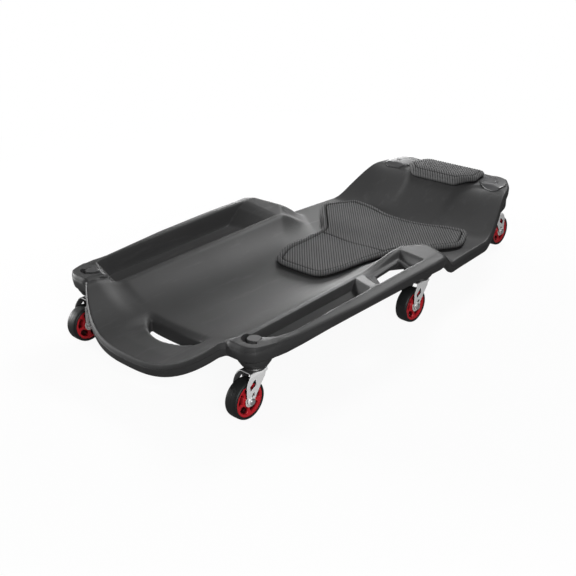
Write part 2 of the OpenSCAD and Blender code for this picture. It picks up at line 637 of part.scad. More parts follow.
// Cushion height as a share of its thickness, over the distance from its edge: a rolled border, then a furrow
roll_w = 5;
furrow_in = 13;
furrow_hw = 3;
function roll_share(d) = lookup(d, [[0, 0.5], [roll_w * 0.3, 0.78], [roll_w * 0.8, 0.96], [roll_w * 1.5, 1],
    [furrow_in - furrow_hw, 0.9], [furrow_in, 0.66], [furrow_in + furrow_hw, 0.88],
    [furrow_in + furrow_hw * 3.3, 0.98]]);
cushion_steps = [0, roll_w * 0.3, roll_w,
    furrow_in - furrow_hw * 1.3, furrow_in, furrow_in + furrow_hw * 1.3];

// Closed cushion on a grid of points: the upper ones row by row, then the lower ones in the same order
module cushion(points, rows, columns) {
    n = rows * columns;
    edge = concat([for (j = [0:columns - 2]) j], [for (i = [0:rows - 2]) i * columns + columns - 1],
        [for (j = [columns - 1:-1:1]) (rows - 1) * columns + j], [for (i = [rows - 1:-1:1]) i * columns]);
    top = [for (i = [0:rows - 2]) for (j = [0:columns - 2]) let (a = i * columns + j) each
        [[a, a + 1, a + columns + 1], [a, a + columns + 1, a + columns]]];
    low = [for (f = top) [f[0] + n, f[2] + n, f[1] + n]];
    sides = [for (k = [0:len(edge) - 1]) let (a = edge[k], b = edge[(k + 1) % len(edge)]) each
        [[a, a + n, b + n], [a, b + n, b]]];
    polyhedron(points = points, faces = concat(top, low, sides));
}

// Back pad's half outline: [share of its length, share of its half width], and its head end's shallow notch
pad_hw = back_pad_w / 2;
pad_end = back_pad_x + back_pad_l;
pad_side_shares = [[0, 0.31], [0.15, 0.43], [0.305, 0.447], [0.514, 0.505], [0.788, 1], [1, 0.81]];
pad_notch_shares = [[0, 0.055], [0.183, 0.055], [0.505, 0.005], [1, 0]];
pad_side = [for (s = pad_side_shares) [back_pad_x + back_pad_l * s[0], pad_hw * s[1]]];
function pad_half_w(x) = lookup(x, pad_side);
function pad_head(y) = pad_end - back_pad_l * lookup(abs(y) / pad_hw, pad_notch_shares);
pad_half = concat(pad_side, [for (k = [2, 1]) let (y = pad_hw * pad_notch_shares[k][0]) [pad_head(y), y]]);
pad_outline = concat(pad_half, [for (k = [len(pad_half) - 1:-1:0]) [pad_half[k].x, -pad_half[k].y]]);
pad_long_shares = [0.11, 0.15, 0.21, 0.27, 0.33, 0.39, 0.45, 0.514, 0.57, 0.62, 0.67, 0.72, 0.788,
    0.85, 0.91];
pad_stations = concat([for (d = cushion_steps) back_pad_x + d],
    [for (k = pad_long_shares) back_pad_x + back_pad_l * k],
    [for (k = [len(cushion_steps) - 1:-1:0]) pad_end - cushion_steps[k]]);
pad_cross_shares = [-0.72, -0.42, 0, 0.42, 0.72];
function cross_lines(hw) = let (inner = hw - furrow_in - furrow_hw * 1.3)
    concat([for (d = cushion_steps) d - hw], [for (k = pad_cross_shares) k * inner],
        [for (k = [len(cushion_steps) - 1:-1:0]) hw - cushion_steps[k]]);
pad_plan = [for (x = pad_stations) for (y = cross_lines(pad_half_w(x)))
    [x - (pad_end - pad_head(y)) * ramp(pad_side[4].x, pad_end - furrow_in, x), y]];
// Clearance under a pad
pad_gap = 0.9;
pad_mid = [back_pad_x + back_pad_l * 0.55, 0];
// How far a pad's underside is drawn in from its edge
undercut = 4;
function drawn_in(q, mid) = mid + (q - mid) * (1 - undercut / norm(q - mid + [cut, 0]));
module back_pad() {
    upper = [for (q = pad_plan)
        [q.x, q.y, form_z(q.x, q.y) + pad_gap + back_pad_t * roll_share(edge_dist(q, pad_outline))]];
    lower = [for (p = pad_plan) let (q = drawn_in(p, pad_mid)) [q.x, q.y, form_z(q.x, q.y) + pad_gap]];
    color([0.24, 0.24, 0.25]) in_place()
        cushion(concat(upper, lower), len(pad_stations), len(cross_lines(pad_hw)));
}

// Head pad's half outline: [share of its length, share of its half width]
neck_hw = head_pad_w / 2;
neck_end = head_pad_x + head_pad_l;
neck_side_shares = [[0, 0.64], [0.19, 0.83], [0.38, 1], [0.5, 0.965], [0.62, 0.935], [0.84, 0.92], [1, 0.79]];
neck_long_shares = [0, 0.02, 0.07, 0.13, 0.19, 0.28, 0.38, 0.5, 0.62, 0.73, 0.84, 0.92, 0.98, 1];
neck_cross_shares = [-1, -0.98, -0.93, -0.86, -0.7, -0.45, -0.2, 0, 0.2, 0.45, 0.7, 0.86, 0.93, 0.98, 1];
neck_side = [for (s = neck_side_shares) [head_pad_x + head_pad_l * s[0], neck_hw * s[1]]];
function neck_half_w(x) = lookup(x, neck_side);
// Bow of the head pad's foot end
neck_bow = 6;
function bow_x(x, k) = neck_bow * k * k * ramp(head_pad_x + head_pad_l * 0.3, head_pad_x, x);
neck_plan = [for (k = neck_long_shares) let (x = head_pad_x + head_pad_l * k) for (c = neck_cross_shares)
    [x + bow_x(x, c), c * neck_half_w(x)]];
neck_edge_w = 9;
function neck_share(q) = let (
        w = neck_half_w(q.x),
        d = min(q.x - head_pad_x - bow_x(q.x, q.y / w), neck_end - q.x, w - abs(q.y)))
    lookup(d, [[0, 0.35], [neck_edge_w * 0.25, 0.62], [neck_edge_w * 0.6, 0.78], [neck_edge_w, 0.84],
        [neck_edge_w * 2.2, 0.95], [neck_edge_w * 4, 1]]);
function neck_t(x) = mix(head_pad_t, head_pad_t * 0.5, ramp(head_pad_x, neck_end, x));
module head_pad() {
    mid = [head_pad_x + head_pad_l / 2, 0];
    upper = [for (q = neck_plan) [q.x, q.y, form_z(q.x, q.y) + pad_gap + neck_t(q.x) * neck_share(q)]];
    lower = [for (p = neck_plan) let (q = drawn_in(p, mid)) [q.x, q.y, form_z(q.x, q.y) + pad_gap]];
    color([0.24, 0.24, 0.25]) in_place()
        cushion(concat(upper, lower), len(neck_long_shares), len(neck_cross_shares));
}

// Covers over the two head corners, in rings from the middle outwards, and their screws.
// A cover's outline and the screws' places are shares of its half length.
cover_hl = 39;
cover_mid = [head_reach - cover_hl * 1.333, head_hw - cover_hl * 0.385];
cover_shares = [[-1, 0.615], [-0.846, 0.82], [-0.46, 0.923], [0.103, 0.846], [0.564, 0.564], [0.872, 0.205],
    [1, -0.256], [0.949, -0.667], [0.667, -0.897], [0.154, -0.974], [-0.359, -0.846], [-0.641, -0.615],
    [-0.795, -0.256], [-0.949, 0.256]];
ring_shares = [0.35, 0.7, 0.93, 1];
cover_bevel = 1.4;
cover_gap = 0.5;
screw_d = 3;
screw_l = 14;
screw_head_h = 1.6;
// How far a screw's head lies below the cover's face
screw_sink = 1.4;
screw_shares = [[-0.077, 0.205], [0.641, -0.308]];
cover_screw_places = [for (s = screw_shares) cover_mid + cover_hl * s];
function cover_screw_z(p) = form_z(p.x, p.y) + cover_gap + cover_t - screw_sink;
function cover_at(k, share) = cover_mid + cover_shares[k % len(cover_shares)] * cover_hl * share;
module cover_body() {
    m = len(cover_shares);
    r = len(ring_shares);
    top = concat([[cover_mid.x, cover_mid.y, form_z(cover_mid.x, cover_mid.y) + cover_gap + cover_t]],
        [for (i = [0:r - 1]) for (k = [0:m - 1]) let (q = cover_at(k, ring_shares[i]))
            [q.x, q.y, form_z(q.x, q.y) + cover_gap + cover_t - (i == r - 1 ? cover_bevel : 0)]]);
    low = [for (q = top) [q.x, q.y, form_z(q.x, q.y) + cover_gap]];
    n = len(top);
    function at(i, k) = 1 + i * m + k % m;
    upper = concat([for (k = [0:m - 1]) [0, at(0, k), at(0, k + 1)]],
        [for (i = [0:r - 2]) for (k = [0:m - 1]) each
            [[at(i, k), at(i + 1, k), at(i + 1, k + 1)], [at(i, k), at(i + 1, k + 1), at(i, k + 1)]]]);
    lower = [for (f = upper) [f[0] + n, f[2] + n, f[1] + n]];
    wall = [for (k = [0:m - 1]) each [[at(r - 1, k), at(r - 1, k) + n, at(r - 1, k + 1) + n],
        [at(r - 1, k), at(r - 1, k + 1) + n, at(r - 1, k + 1)]]];
    polyhedron(points = concat(top, low), faces = concat(upper, lower, wall));
}
module corner_cover(side) {
    color([0.34, 0.34, 0.35]) in_place() scale([1, side, 1]) difference() {
        cover_body();
        for (p = cover_screw_places) translate([p.x, p.y, cover_screw_z(p)]) {
            cylinder(d = screw_head_d + turn_gap, h = cover_t * 2);
            translate([0, 0, -cover_t * 2]) cylinder(d = screw_d + turn_gap, h = cover_t * 3);
        }
    }
}
module cover_screws() {
    color([0.15, 0.15, 0.15]) in_place() for (s = [-1, 1]) for (p = cover_screw_places)
        translate([p.x, s * p.y, cover_screw_z(p)]) {
            cylinder(d = screw_head_d, h = screw_head_h);
            translate([0, 0, -screw_l]) cylinder(d = screw_d - run_gap * 2, h = screw_l);
        }
}

deck();
back_pad();
head_pad();
corner_cover(1);  // corner_cover_left
corner_cover(-1);  // corner_cover_right
cover_screws();
stem_inserts();
kingpins();
upper_races();
corner_plugs();
fork(0);  // fork_foot_left
fork(1);  // fork_foot_right
fork(2);  // fork_mid_left
fork(3);  // fork_mid_right
fork(4);  // fork_head_left
fork(5);  // fork_head_right
balls(0);  // race_balls_foot_left
balls(1);  // race_balls_foot_right
balls(2);  // race_balls_mid_left
balls(3);  // race_balls_mid_right
balls(4);  // race_balls_head_left
balls(5);  // race_balls_head_right
axle_bolt(0);  // axle_bolt_foot_left
axle_bolt(1);  // axle_bolt_foot_right
axle_bolt(2);  // axle_bolt_mid_left
axle_bolt(3);  // axle_bolt_mid_right
axle_bolt(4);  // axle_bolt_head_left
axle_bolt(5);  // axle_bolt_head_right
axle_nut(0);  // axle_nut_foot_left
axle_nut(1);  // axle_nut_foot_right
axle_nut(2);  // axle_nut_mid_left
axle_nut(3);  // axle_nut_mid_right
axle_nut(4);  // axle_nut_head_left
axle_nut(5);  // axle_nut_head_right
axle_sleeve(0);  // axle_sleeve_foot_left
axle_sleeve(1);  // axle_sleeve_foot_right
axle_sleeve(2);  // axle_sleeve_mid_left
axle_sleeve(3);  // axle_sleeve_mid_right
axle_sleeve(4);  // axle_sleeve_head_left
axle_sleeve(5);  // axle_sleeve_head_right
thrust_washers(0);  // thrust_washers_foot_left
thrust_washers(1);  // thrust_washers_foot_right
thrust_washers(2);  // thrust_washers_mid_left
thrust_washers(3);  // thrust_washers_mid_right
thrust_washers(4);  // thrust_washers_head_left
thrust_washers(5);  // thrust_washers_head_right
hub(0);  // hub_foot_left
hub(1);  // hub_foot_right
hub(2);  // hub_mid_left
hub(3);  // hub_mid_right
hub(4);  // hub_head_left
hub(5);  // hub_head_right
tyre(0);  // tyre_foot_left
tyre(1);  // tyre_foot_right
tyre(2);  // tyre_mid_left
tyre(3);  // tyre_mid_right
tyre(4);  // tyre_head_left
tyre(5);  // tyre_head_right
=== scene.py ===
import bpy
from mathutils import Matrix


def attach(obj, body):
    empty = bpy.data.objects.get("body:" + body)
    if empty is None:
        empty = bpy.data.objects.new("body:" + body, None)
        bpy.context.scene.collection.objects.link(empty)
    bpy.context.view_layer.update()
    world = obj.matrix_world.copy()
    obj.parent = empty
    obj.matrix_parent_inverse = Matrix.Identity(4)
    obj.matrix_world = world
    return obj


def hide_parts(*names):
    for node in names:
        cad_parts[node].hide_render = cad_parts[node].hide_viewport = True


bl_info = {
    "name": "Mechanic creeper",
    "version": (1, 0, 0),
    "blender": (4, 5, 0),
    "location": "3D View > Sidebar > Creeper",
    "description": "Dresses the frame of a mechanic creeper: moulded deck, ribbed pads, covers and castors",
    "category": "Object",
}

import bpy
import numpy as np
from bpy.props import FloatProperty, FloatVectorProperty, IntProperty, PointerProperty
from mathutils import Vector

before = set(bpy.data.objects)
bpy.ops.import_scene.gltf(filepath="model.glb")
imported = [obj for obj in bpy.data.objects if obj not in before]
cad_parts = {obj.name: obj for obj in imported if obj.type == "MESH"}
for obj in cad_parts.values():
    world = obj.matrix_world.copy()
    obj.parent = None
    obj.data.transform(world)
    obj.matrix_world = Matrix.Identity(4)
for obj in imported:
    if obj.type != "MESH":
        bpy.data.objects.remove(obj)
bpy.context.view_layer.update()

DECK_BODY = "creeper_deck"
CASTOR_NAMES = ("foot_left", "foot_right", "mid_left", "mid_right", "head_left", "head_right")

# Plan of the deck in millimetres from the foot castors' swivel axis: x to the head end, y across, z up.
MIDDLE_X = 461.75
FOOT_Y = 224.0
CORNER_R = 40.0
CORNER_X = -CORNER_R * np.sqrt(0.5)
FOOT_REACH = 106.0
HEAD_REACH = 1000.0
HEAD_CORNER = 988.0
BOWL_Y = 179.0
BOWL_SHARE = 358 / 474
CREST_FOOT_Y = 192.4
TRAY_IN = 180.8
TRAY_FROM = 28.0
TRAY_END = 500.0
TRAY_FLOOR = 105.0
TRAY_CLIMB = 14.0
CORNER_Z = 145.0
CORNER_INNER_Z = 139.0
CREST_Z = 122.0
CREST_HEAD_Z = 136.0
SIDE_CREST_LIFT = 13.0
DISH = (849.8, 140.0, 75.0, 9.0)
DECK_T = 26.0
LIP_T = 27.0
TRAY_T = 6.0
RECESS_T = 9.0
PLUG_R = 13.2
EDGE_W = 6.0
OUTLINE = np.array([(0, 264), (75, 270), (230, 283.5), (390, 286), (500, 286), (600, 242), (645, 238),
                    (768, 231), (822, 220), (857.1, 209), (887.7, 199), (919.8, 190), (935.9, 184),
                    (960.7, 171), (988, 150)])
MIDDLE_LINE = np.array([(-106, 75), (20, 80), (367, 84), (645, 86), (768, 86)])
WING_RIM = np.array([(0, 145), (75, 148.75), (230, 153.25), (300, 155.5), (390, 158.5), (500, 159.7)])
RIM_UNDER = np.array([(0, 113), (75, 117), (230, 129), (390, 131), (500, 129)])
TRAY_OUT = np.array([(28, 250), (60, 256), (100, 258), (200, 258.5), (350, 260), (500, 261.1)])
RISE = (768.0, 914.0)
CASTOR_TRACKS = ((0.0, FOOT_Y, 1), (509.0, 220.0, 1), (965.0, 128.0, -1))
SEAT_Z = 95.0
SEAT_BORE = 9.05
PIN_BORE = 6.05
TRAIL = 27.0
WHEEL_R = 37.5
CROWN_TOP = 88.0
LEG_OUT = 17.0
FORK_T = 2.5
FORK_BEND = 5.0
RIB_LINES = 6
PAD_GAP = 0.9
FAR_OFF = 99.0


def ease(a, b, x):
    """Smooth step: 3u^2 - 2u^3 with u running from 0 at a to 1 at b."""
    u = np.clip((x - a) / (b - a), 0, 1)
    return u * u * (3 - 2 * u)


def ramp(a, b, x):
    """Straight step from 0 at a to 1 at b."""
    return np.clip((x - a) / (b - a), 0, 1)


def mix(a, b, k):
    """a at k = 0, b at k = 1, straight between."""
    return a + (b - a) * k


def along(table, x):
    """Value read off a table of (x, value) rows, straight between its rows."""
    return np.interp(x, table[:, 0], table[:, 1])


def rounded_min(values, r):
    """Smallest of several distances, with the corner between two of them rounded to radius r."""
    v = np.stack(np.broadcast_arrays(*values))
    near = r - np.sqrt((np.maximum(r - v, 0) ** 2).sum(0))
    return np.where(v.min(0) > r, v.min(0), near)


def half_width(x):
    """Half width of the deck: the foot corner's arc before x = 0, then the outline averaged over 18 mm."""
    arc = FOOT_Y + np.sqrt(CORNER_R ** 2 - np.clip(x, CORNER_X, 0) ** 2)
    side = np.mean([along(OUTLINE, x + o) for o in (-9, -6, -3, 0, 3, 6, 9)], 0)
    return np.where(x < 0, arc, np.where(x > 975, along(OUTLINE, x), side))


def foot_edge(y):
    """Foot end of the outline: a bow of power 2.6 across the lip, then the corner's arc."""
    k = np.abs(y)
    bow = -FOOT_REACH + (FOOT_REACH - CORNER_R) * np.minimum(1, k / 194) ** 2.6
    return np.where(k < FOOT_Y, bow, -np.sqrt(np.maximum(0, CORNER_R ** 2 - (k - FOOT_Y) ** 2)))


def head_edge(y):
    """Head end of the outline, bowed with the cube of the distance from the middle."""
    return mix(HEAD_REACH, HEAD_CORNER, np.minimum(1, np.abs(y) / 150) ** 3)


def crest_y(x):
    """Half width of the bowl: widest at the foot corners, then even, and less where the deck narrows."""
    return mix(CREST_FOOT_Y, np.minimum(BOWL_Y, half_width(x) * BOWL_SHARE), ease(0, 48, x))


def tray_out(x):
    """Outer edge of the trays, kept short of the outline where the deck narrows."""
    h = half_width(x)
    return np.minimum(along(TRAY_OUT, x), h - (h - crest_y(x)) * 0.14)


def rim_height(x):
    """Heights of the rim along the wings, and along the shoulders and the head."""
    shoulder = mix(98, 172, ease(*RISE, x)) + 6 * ramp(RISE[1], HEAD_REACH, x)
    return along(WING_RIM, x), shoulder


def wing_share(x, y):
    """1 along the wings, falling to 0 down their slanted head end."""
    k = np.abs(y)
    end = 500 + (286 - np.maximum(k, 206)) * 0.56 - np.maximum(0, 206 - k)
    run = 85 + np.maximum(0, 206 - k) * 0.4
    return 1 - mix(ease(0, run, x - end), ramp(0, run, x - end), 0.6)


def crest_height(x, y):
    """Crest beside the bowl: down from the foot corner, then up to the head; higher by the side hand hole."""
    corner = mix(CORNER_INNER_Z, CREST_Z, ease(-24, 38, x))
    crest = mix(corner, CREST_HEAD_Z, ramp(TRAY_FROM, TRAY_END, x))
    return crest + np.where(y < 0, SIDE_CREST_LIFT * ease(372, 485, x), 0)


def form_at(x, y):
    """Deck without its trays: cubic bowl between the crests, slope to the rim and rise to the head, less the
    two round dishes, 1 - (r/R)^4 cut off at the rim, and the scoop before the foot hand hole."""
    h, c = half_width(x), crest_y(x)
    k = np.abs(y)
    wing_rim, shoulder_rim = rim_height(x)
    middle = along(MIDDLE_LINE, x) + 86 * ease(*RISE, x) + 3 * ramp(RISE[1], HEAD_REACH, x)
    crest = crest_height(x, y)
    b = (k - c) / (h - c)
    reach = (tray_out(x) - c) / (h - c)
    lip = wing_rim - 1.5 * ease(0, 56, x)
    slope = np.where(b < reach, mix(crest, lip, np.clip(b / reach, 0, 1)), lip)
    flank = mix(mix(CORNER_INNER_Z, CORNER_Z, ramp(0, 0.07, b)), slope, ease(0, TRAY_FROM, x))
    wing = np.where(k < c, mix(middle, crest, np.minimum(1, k / (c - 9)) ** 3), flank)
    shoulder = mix(middle, shoulder_rim, np.minimum(1, k / (h - EDGE_W)) ** 3)
    dish_x, dish_y, dish_r, depth = DISH
    r = np.hypot(x - dish_x, k - dish_y)
    inner_side = ease(-0.2, 0.9, ((x - dish_x) * 0.75 - (k - dish_y) * 0.66) / np.maximum(r, 1))
    crisp = mix(ramp(0, dish_r, dish_r - r + 12), ease(0, 10, dish_r + 1 - r), inner_side)
    dish = depth * (1 - mix(1, 0.35, inner_side) * np.minimum(1, r / dish_r) ** 4) * crisp
    scoop = 7 * ramp(-64, 12, x) * ease(34, 20, x) * (1 - ease(68, 86, k))
    return mix(shoulder, wing, wing_share(x, y)) - dish - scoop


STENCIL = ((0, 0), (3.5, 0), (-3.5, 0), (0, 3.5), (0, -3.5))


def form(x, y):
    """form_at averaged over five points 3.5 mm apart, which rounds its creases as a blow moulding's are."""
    return np.mean([form_at(x + a, y + b) for a, b in STENCIL], 0)


def fillet_step(s, w):
    """0 to 1 over s from 0 to 1, with its two corners rounded over a width w."""
    s = np.clip(s, -w, 1 + w)
    low = np.where(s < w, (s + w) ** 2 / (4 * w), s)
    return np.where(s > 1 - w, 1 - (1 + w - s) ** 2 / (4 * w), low)


def pocket(x, y, ends, slants, runs):
    """Depth share of a pocket in a wing: the least of four wall ramps, joined with rounded corners, with a
    chamfer along the walls' upper part. It is below 0 outside the pocket."""
    out = tray_out(x)
    k = (y - TRAY_IN) / (out - TRAY_IN)
    walls = [(y - TRAY_IN) / runs[2], (out - y) / runs[3],
             (x - ends[0] + slants[0] * k) / runs[0], (ends[1] - slants[1] * k - x) / runs[1]]
    near = rounded_min([np.minimum(w, 1.3) for w in walls], 0.45)
    return np.interp(near, [-1, 0, 0.38, 1, 1.3], [-1, 0, 0.27, 1, 1.3])


# Pockets in the wings: their two ends, the slants of those, and the runs of foot, head, inner and outer wall.
LONG_TRAY = ((14, TRAY_END), (-16.8, 20), (26, 68, 5.6, 8.8))
SHORT_TRAY = ((14, 340), (-16.8, 56), (26, 16, 5.6, 8.8))
RECESS = ((360, 491.2), (56, 30), (14, 14, 10, 6))


def tray_share(x, y):
    """Depth share of the two trays, left and right."""
    return np.where(y > 0, pocket(x, np.abs(y), *LONG_TRAY), pocket(x, np.abs(y), *SHORT_TRAY))


def recess_share(x, y):
    """Depth share of the recess round the side hand hole, on the right hand side only."""
    return np.where(y > 0, -1, pocket(x, np.abs(y), *RECESS))


def foot_hole(x, y):
    """Distance inside the foot hand hole: straight on its head side, a bow of 84 mm on its foot side."""
    return rounded_min([84.2 - np.hypot(x - 60.2, y), 20 - x, 74 - np.abs(y)], 4)


SIDE_HOLE = np.array([(380, -200), (460, -198.5), (439, -247), (345, -247)])


def side_hole(x, y):
    """Distance inside the side hand hole, from its four sides."""
    a, b = SIDE_HOLE, np.roll(SIDE_HOLE, -1, 0)
    d = b - a
    n = np.stack([d[:, 1], -d[:, 0]], 1) / np.hypot(d[:, 0], d[:, 1])[:, None]
    return rounded_min([(x - p[0]) * m[0] + (y - p[1]) * m[1] for p, m in zip(a, n)], 4)


def open_area(x, y):
    """Distance outside both hand holes; below 0 in them."""
    return -np.maximum(foot_hole(x, y), side_hole(x, y))


def corner_groove(x, y):
    """Distance inside the half-round groove by each foot corner's plug."""
    r = np.hypot(x, np.abs(y) - FOOT_Y)
    half = -(x * np.cos(0.59) + (np.abs(y) - FOOT_Y) * np.sin(0.59))
    return rounded_min([23 - r, half + 1.5, r - 8], 2.5)


def plug_hole(x, y):
    """Distance inside the round hole that takes each foot corner's plug."""
    return PLUG_R - np.hypot(x, np.abs(y) - FOOT_Y)


def round_over(d, r):
    """Drop of a rounded edge of radius r at a distance d from it."""
    k = np.clip(d, 0, r)
    return r - np.sqrt(r * r - (r - k) ** 2)


def recess_floor(x):
    """Height of the floor round the side hand hole."""
    return 130 + 6 * ramp(380, 460, x)


def tray_floor(x):
    """Height of the trays' floor, which climbs to the head end."""
    return TRAY_FLOOR + TRAY_CLIMB * ramp(TRAY_FROM, TRAY_END, x)


def deck_top(x, y):
    """Upper surface: the form, the trays and the recess let into it, and the edges of its holes rounded."""
    z = form(x, y)
    z = mix(z, tray_floor(x), fillet_step(tray_share(x, y), 0.11))
    z = mix(z, np.minimum(z, recess_floor(x)), fillet_step(recess_share(x, y), 0.12))
    plug = plug_hole(x, y)
    z = z - 12 * ramp(0, 1.0, corner_groove(x, y)) * (plug < -1)
    z = np.where(plug > 0, np.minimum(z, CORNER_Z - 6 * ramp(0, 1.0, plug)), z)
    return z - round_over(open_area(x, y), 2.5) - rim_bevel(x, y)


def rim_bevel(x, y):
    """Drop of the wings' rim: a crease 17 mm in from the outline, then a bevel 4 mm down to the edge."""
    d = half_width(x) - np.abs(y)
    crease = 0.9 * np.exp(-((d - 17) / 1.3) ** 2)
    return (crease + 4 * ramp(17, 2, d)) * ramp(34, 70, x) * ramp(545, 470, x)


def deck_bottom(x, y):
    """Lower surface: under the form by the deck's thickness, less under the trays and the recess, and the
    rim's own height outside them."""
    h, c, out = half_width(x), crest_y(x), tray_out(x)
    k = np.abs(y)
    bowl = form(x, y) - DECK_T
    floor = tray_floor(x) - TRAY_T
    rim = along(RIM_UNDER, x)
    inner = mix(crest_height(x, y) - DECK_T, floor, ramp(0, 8, k - c))
    outer = mix(floor, rim, ramp(0, 1, (k - out + 8) / (h - EDGE_W - out + 8)))
    wing = np.where(k < c, bowl, np.where(k < out - 8, inner, outer))
    corner = np.where(k < c, wing, mix(rim, wing, ease(-6, 42, x)))
    under = mix(bowl, corner, wing_share(x, y))
    return mix(under, recess_floor(x) - RECESS_T, np.clip(recess_share(x, y), 0, 1))


def slope_of(f, x, y):
    """Gradient of f by differences over 0.1 mm."""
    e = 0.05
    return (f(x + e, y) - f(x - e, y)) / (2 * e), (f(x, y + e) - f(x, y - e)) / (2 * e)


def cut_grid(x, y, keep, lines=()):
    """Grid of points cut along keep(x, y) = 0. Every grid edge that crosses the zero line of keep or of one
    of the lines has its nearer end moved onto that line, down the gradient. A cell is split between two
    such points. Returns the points and the triangles where keep is positive, facing up."""
    x, y = x.copy(), y.copy()
    fixed = np.zeros(x.shape, bool)
    on = []
    for f in (keep, *lines):
        d = f(x, y)
        near = np.zeros(x.shape, bool)
        for a, b in (((slice(None, -1), slice(None)), (slice(1, None), slice(None))),
                     ((slice(None), slice(None, -1)), (slice(None), slice(1, None)))):
            cross = d[a] * d[b] < 0
            first = np.abs(d[a]) <= np.abs(d[b])
            near[a] |= cross & first
            near[b] |= cross & ~first
        near &= ~fixed
        for _ in range(4):
            gx, gy = slope_of(f, x, y)
            step = np.where(near, f(x, y) / np.maximum(gx * gx + gy * gy, 1e-3), 0)
            x, y = x - step * gx, y - step * gy
        fixed |= near
        on.append(near)
    index = np.arange(x.size).reshape(x.shape)
    a, b, c, d = index[:-1, :-1], index[1:, :-1], index[1:, 1:], index[:-1, 1:]
    other = np.zeros(a.shape, bool)
    for k in reversed(on):
        k = k.ravel()
        other = np.where(k[a] & k[c], False, np.where(k[b] & k[d], True, other))
    flip = other[..., None]
    first = np.where(flip, np.stack([a, b, d], -1), np.stack([a, b, c], -1))
    second = np.where(flip, np.stack([b, c, d], -1), np.stack([a, c, d], -1))
    tris = np.concatenate([first.reshape(-1, 3), second.reshape(-1, 3)])
    x, y = x.ravel(), y.ravel()
    value = np.where(on[0].ravel(), 0, keep(x, y))
    centre = keep(x[tris].mean(1), y[tris].mean(1))
    return x, y, tris[(value[tris].min(1) >= 0) & (centre > 0)]


def shell(tris, layers):
    """Closed mesh from a cut surface: the first layer of points on top, the last one below and turned over,
    and the layers between them as rings of wall along every open edge."""
    used, tri = np.unique(tris, return_inverse=True)
    tri = tri.reshape(-1, 3)
    n = len(used)
    edges = np.concatenate([tri[:, [0, 1]], tri[:, [1, 2]], tri[:, [2, 0]]])
    key, back = edges[:, 0] * n + edges[:, 1], edges[:, 1] * n + edges[:, 0]
    rim = edges[~np.isin(key, back)]
    names = np.unique(rim)
    place = np.searchsorted(names, rim)
    points = [layers[0][used], layers[-1][used]]
    rings = [rim]
    for k, layer in enumerate(layers[1:-1]):
        points.append(layer[used][names])
        rings.append(place + 2 * n + k * len(names))
    rings.append(rim + n)
    faces = [tri, tri[:, ::-1] + n]
    for upper, lower in zip(rings[:-1], rings[1:]):
        faces.append(np.stack([upper[:, 0], lower[:, 0], lower[:, 1]], 1))
        faces.append(np.stack([upper[:, 0], lower[:, 1], upper[:, 1]], 1))
    return np.concatenate(points), np.concatenate(faces)


def tube(grid):
    """Closed mesh from a grid of points that runs round in both directions, as a ring's surface does."""
    m, n = grid.shape[:2]
    index = np.arange(m * n).reshape(m, n)
    a, b = index, np.roll(index, -1, 0)
    c, d = np.roll(b, -1, 1), np.roll(a, -1, 1)
    faces = np.concatenate([np.stack([a, b, c], -1).reshape(-1, 3), np.stack([a, c, d], -1).reshape(-1, 3)])
    return grid.reshape(-1, 3), faces


def lathe(profile, n):
    """Ring turned about the z axis, in n steps. profile: closed outline of (r, z), its inside on the left."""
    t = np.linspace(0, 2 * np.pi, n, endpoint=False)
    r, z = np.array(profile, float).T[..., None]
    return tube(np.stack([r * np.cos(t), r * np.sin(t), z + 0 * t], -1).transpose(1, 0, 2))


def joined(meshes):
    """One mesh from several."""
    points, faces = zip(*meshes)
    starts = np.cumsum([0, *map(len, points[:-1])])
    return np.concatenate(points), np.concatenate([f + n for f, n in zip(faces, starts)])


def rounded_outline(points, r, steps=5):
    """Outline with each corner replaced by a quadratic bend that starts r before it, less on short sides."""
    p = np.array(points, float)
    before, after = np.roll(p, 1, 0) - p, np.roll(p, -1, 0) - p

    def pull(v):
        length = np.hypot(v[:, 0], v[:, 1])
        return v * (np.minimum(r, length * 0.45) / length)[:, None]

    t = np.linspace(0, 1, steps)[None, :, None]
    a, b = (p + pull(before))[:, None], (p + pull(after))[:, None]
    return (a * (1 - t) ** 2 + p[:, None] * 2 * t * (1 - t) + b * t ** 2).reshape(-1, 2)


def inside_outline(points):
    """Function of x and y: distance to a closed outline, above 0 inside it."""
    p = np.array(points, float)
    q = np.roll(p, -1, 0)

    def distance(x, y):
        best = np.full(np.shape(x), 1e9)
        odd = np.zeros(np.shape(x), bool)
        for (ax, ay), (bx, by) in zip(p, q):
            dx, dy = bx - ax, by - ay
            t = np.clip(((x - ax) * dx + (y - ay) * dy) / (dx * dx + dy * dy), 0, 1)
            best = np.minimum(best, np.hypot(x - ax - dx * t, y - ay - dy * t))
            crosses = (ay > y) != (by > y)
            side = ax + (y - ay) * dx / np.where(dy == 0, 1e-9, dy)
            odd ^= crosses & (x < side)
        return np.where(odd, best, -best)

    return distance


def add_piece(name, mesh, material, body, replaced=(), sharp=48, painted_shading=None):
    """Object from points in millimetres and triangles, smooth but for edges past the sharp angle, on its
    body. The painted shading given holds a number for each point, painted shade and painted highlight, by
    which its material's colour is multiplied."""
    points, faces = mesh
    data = bpy.data.meshes.new(name)
    data.vertices.add(len(points))
    data.vertices.foreach_set("co", ((points - np.array([MIDDLE_X, 0, 0])) / 1000).astype(np.float32).ravel())
    data.loops.add(faces.size)
    data.loops.foreach_set("vertex_index", faces.astype(np.int32).ravel())
    data.polygons.add(len(faces))
    data.polygons.foreach_set("loop_start", np.arange(0, faces.size, 3, dtype=np.int32))
    data.update(calc_edges=True)
    data.validate()
    data.shade_smooth()
    data.set_sharp_from_angle(angle=np.radians(sharp))
    # Painted shading: a number per point that darkens the colour where shade falls and lightens it on
    # highlights.
    if painted_shading is not None:
        data.attributes.new("painted_shading", "FLOAT", "POINT").data.foreach_set("value", painted_shading.astype(np.float32))
    data.materials.append(material)
    piece = bpy.data.objects.new(name, data)
    bpy.context.scene.collection.objects.link(piece)
    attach(piece, body)
    if replaced:
        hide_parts(*replaced)
    return piece


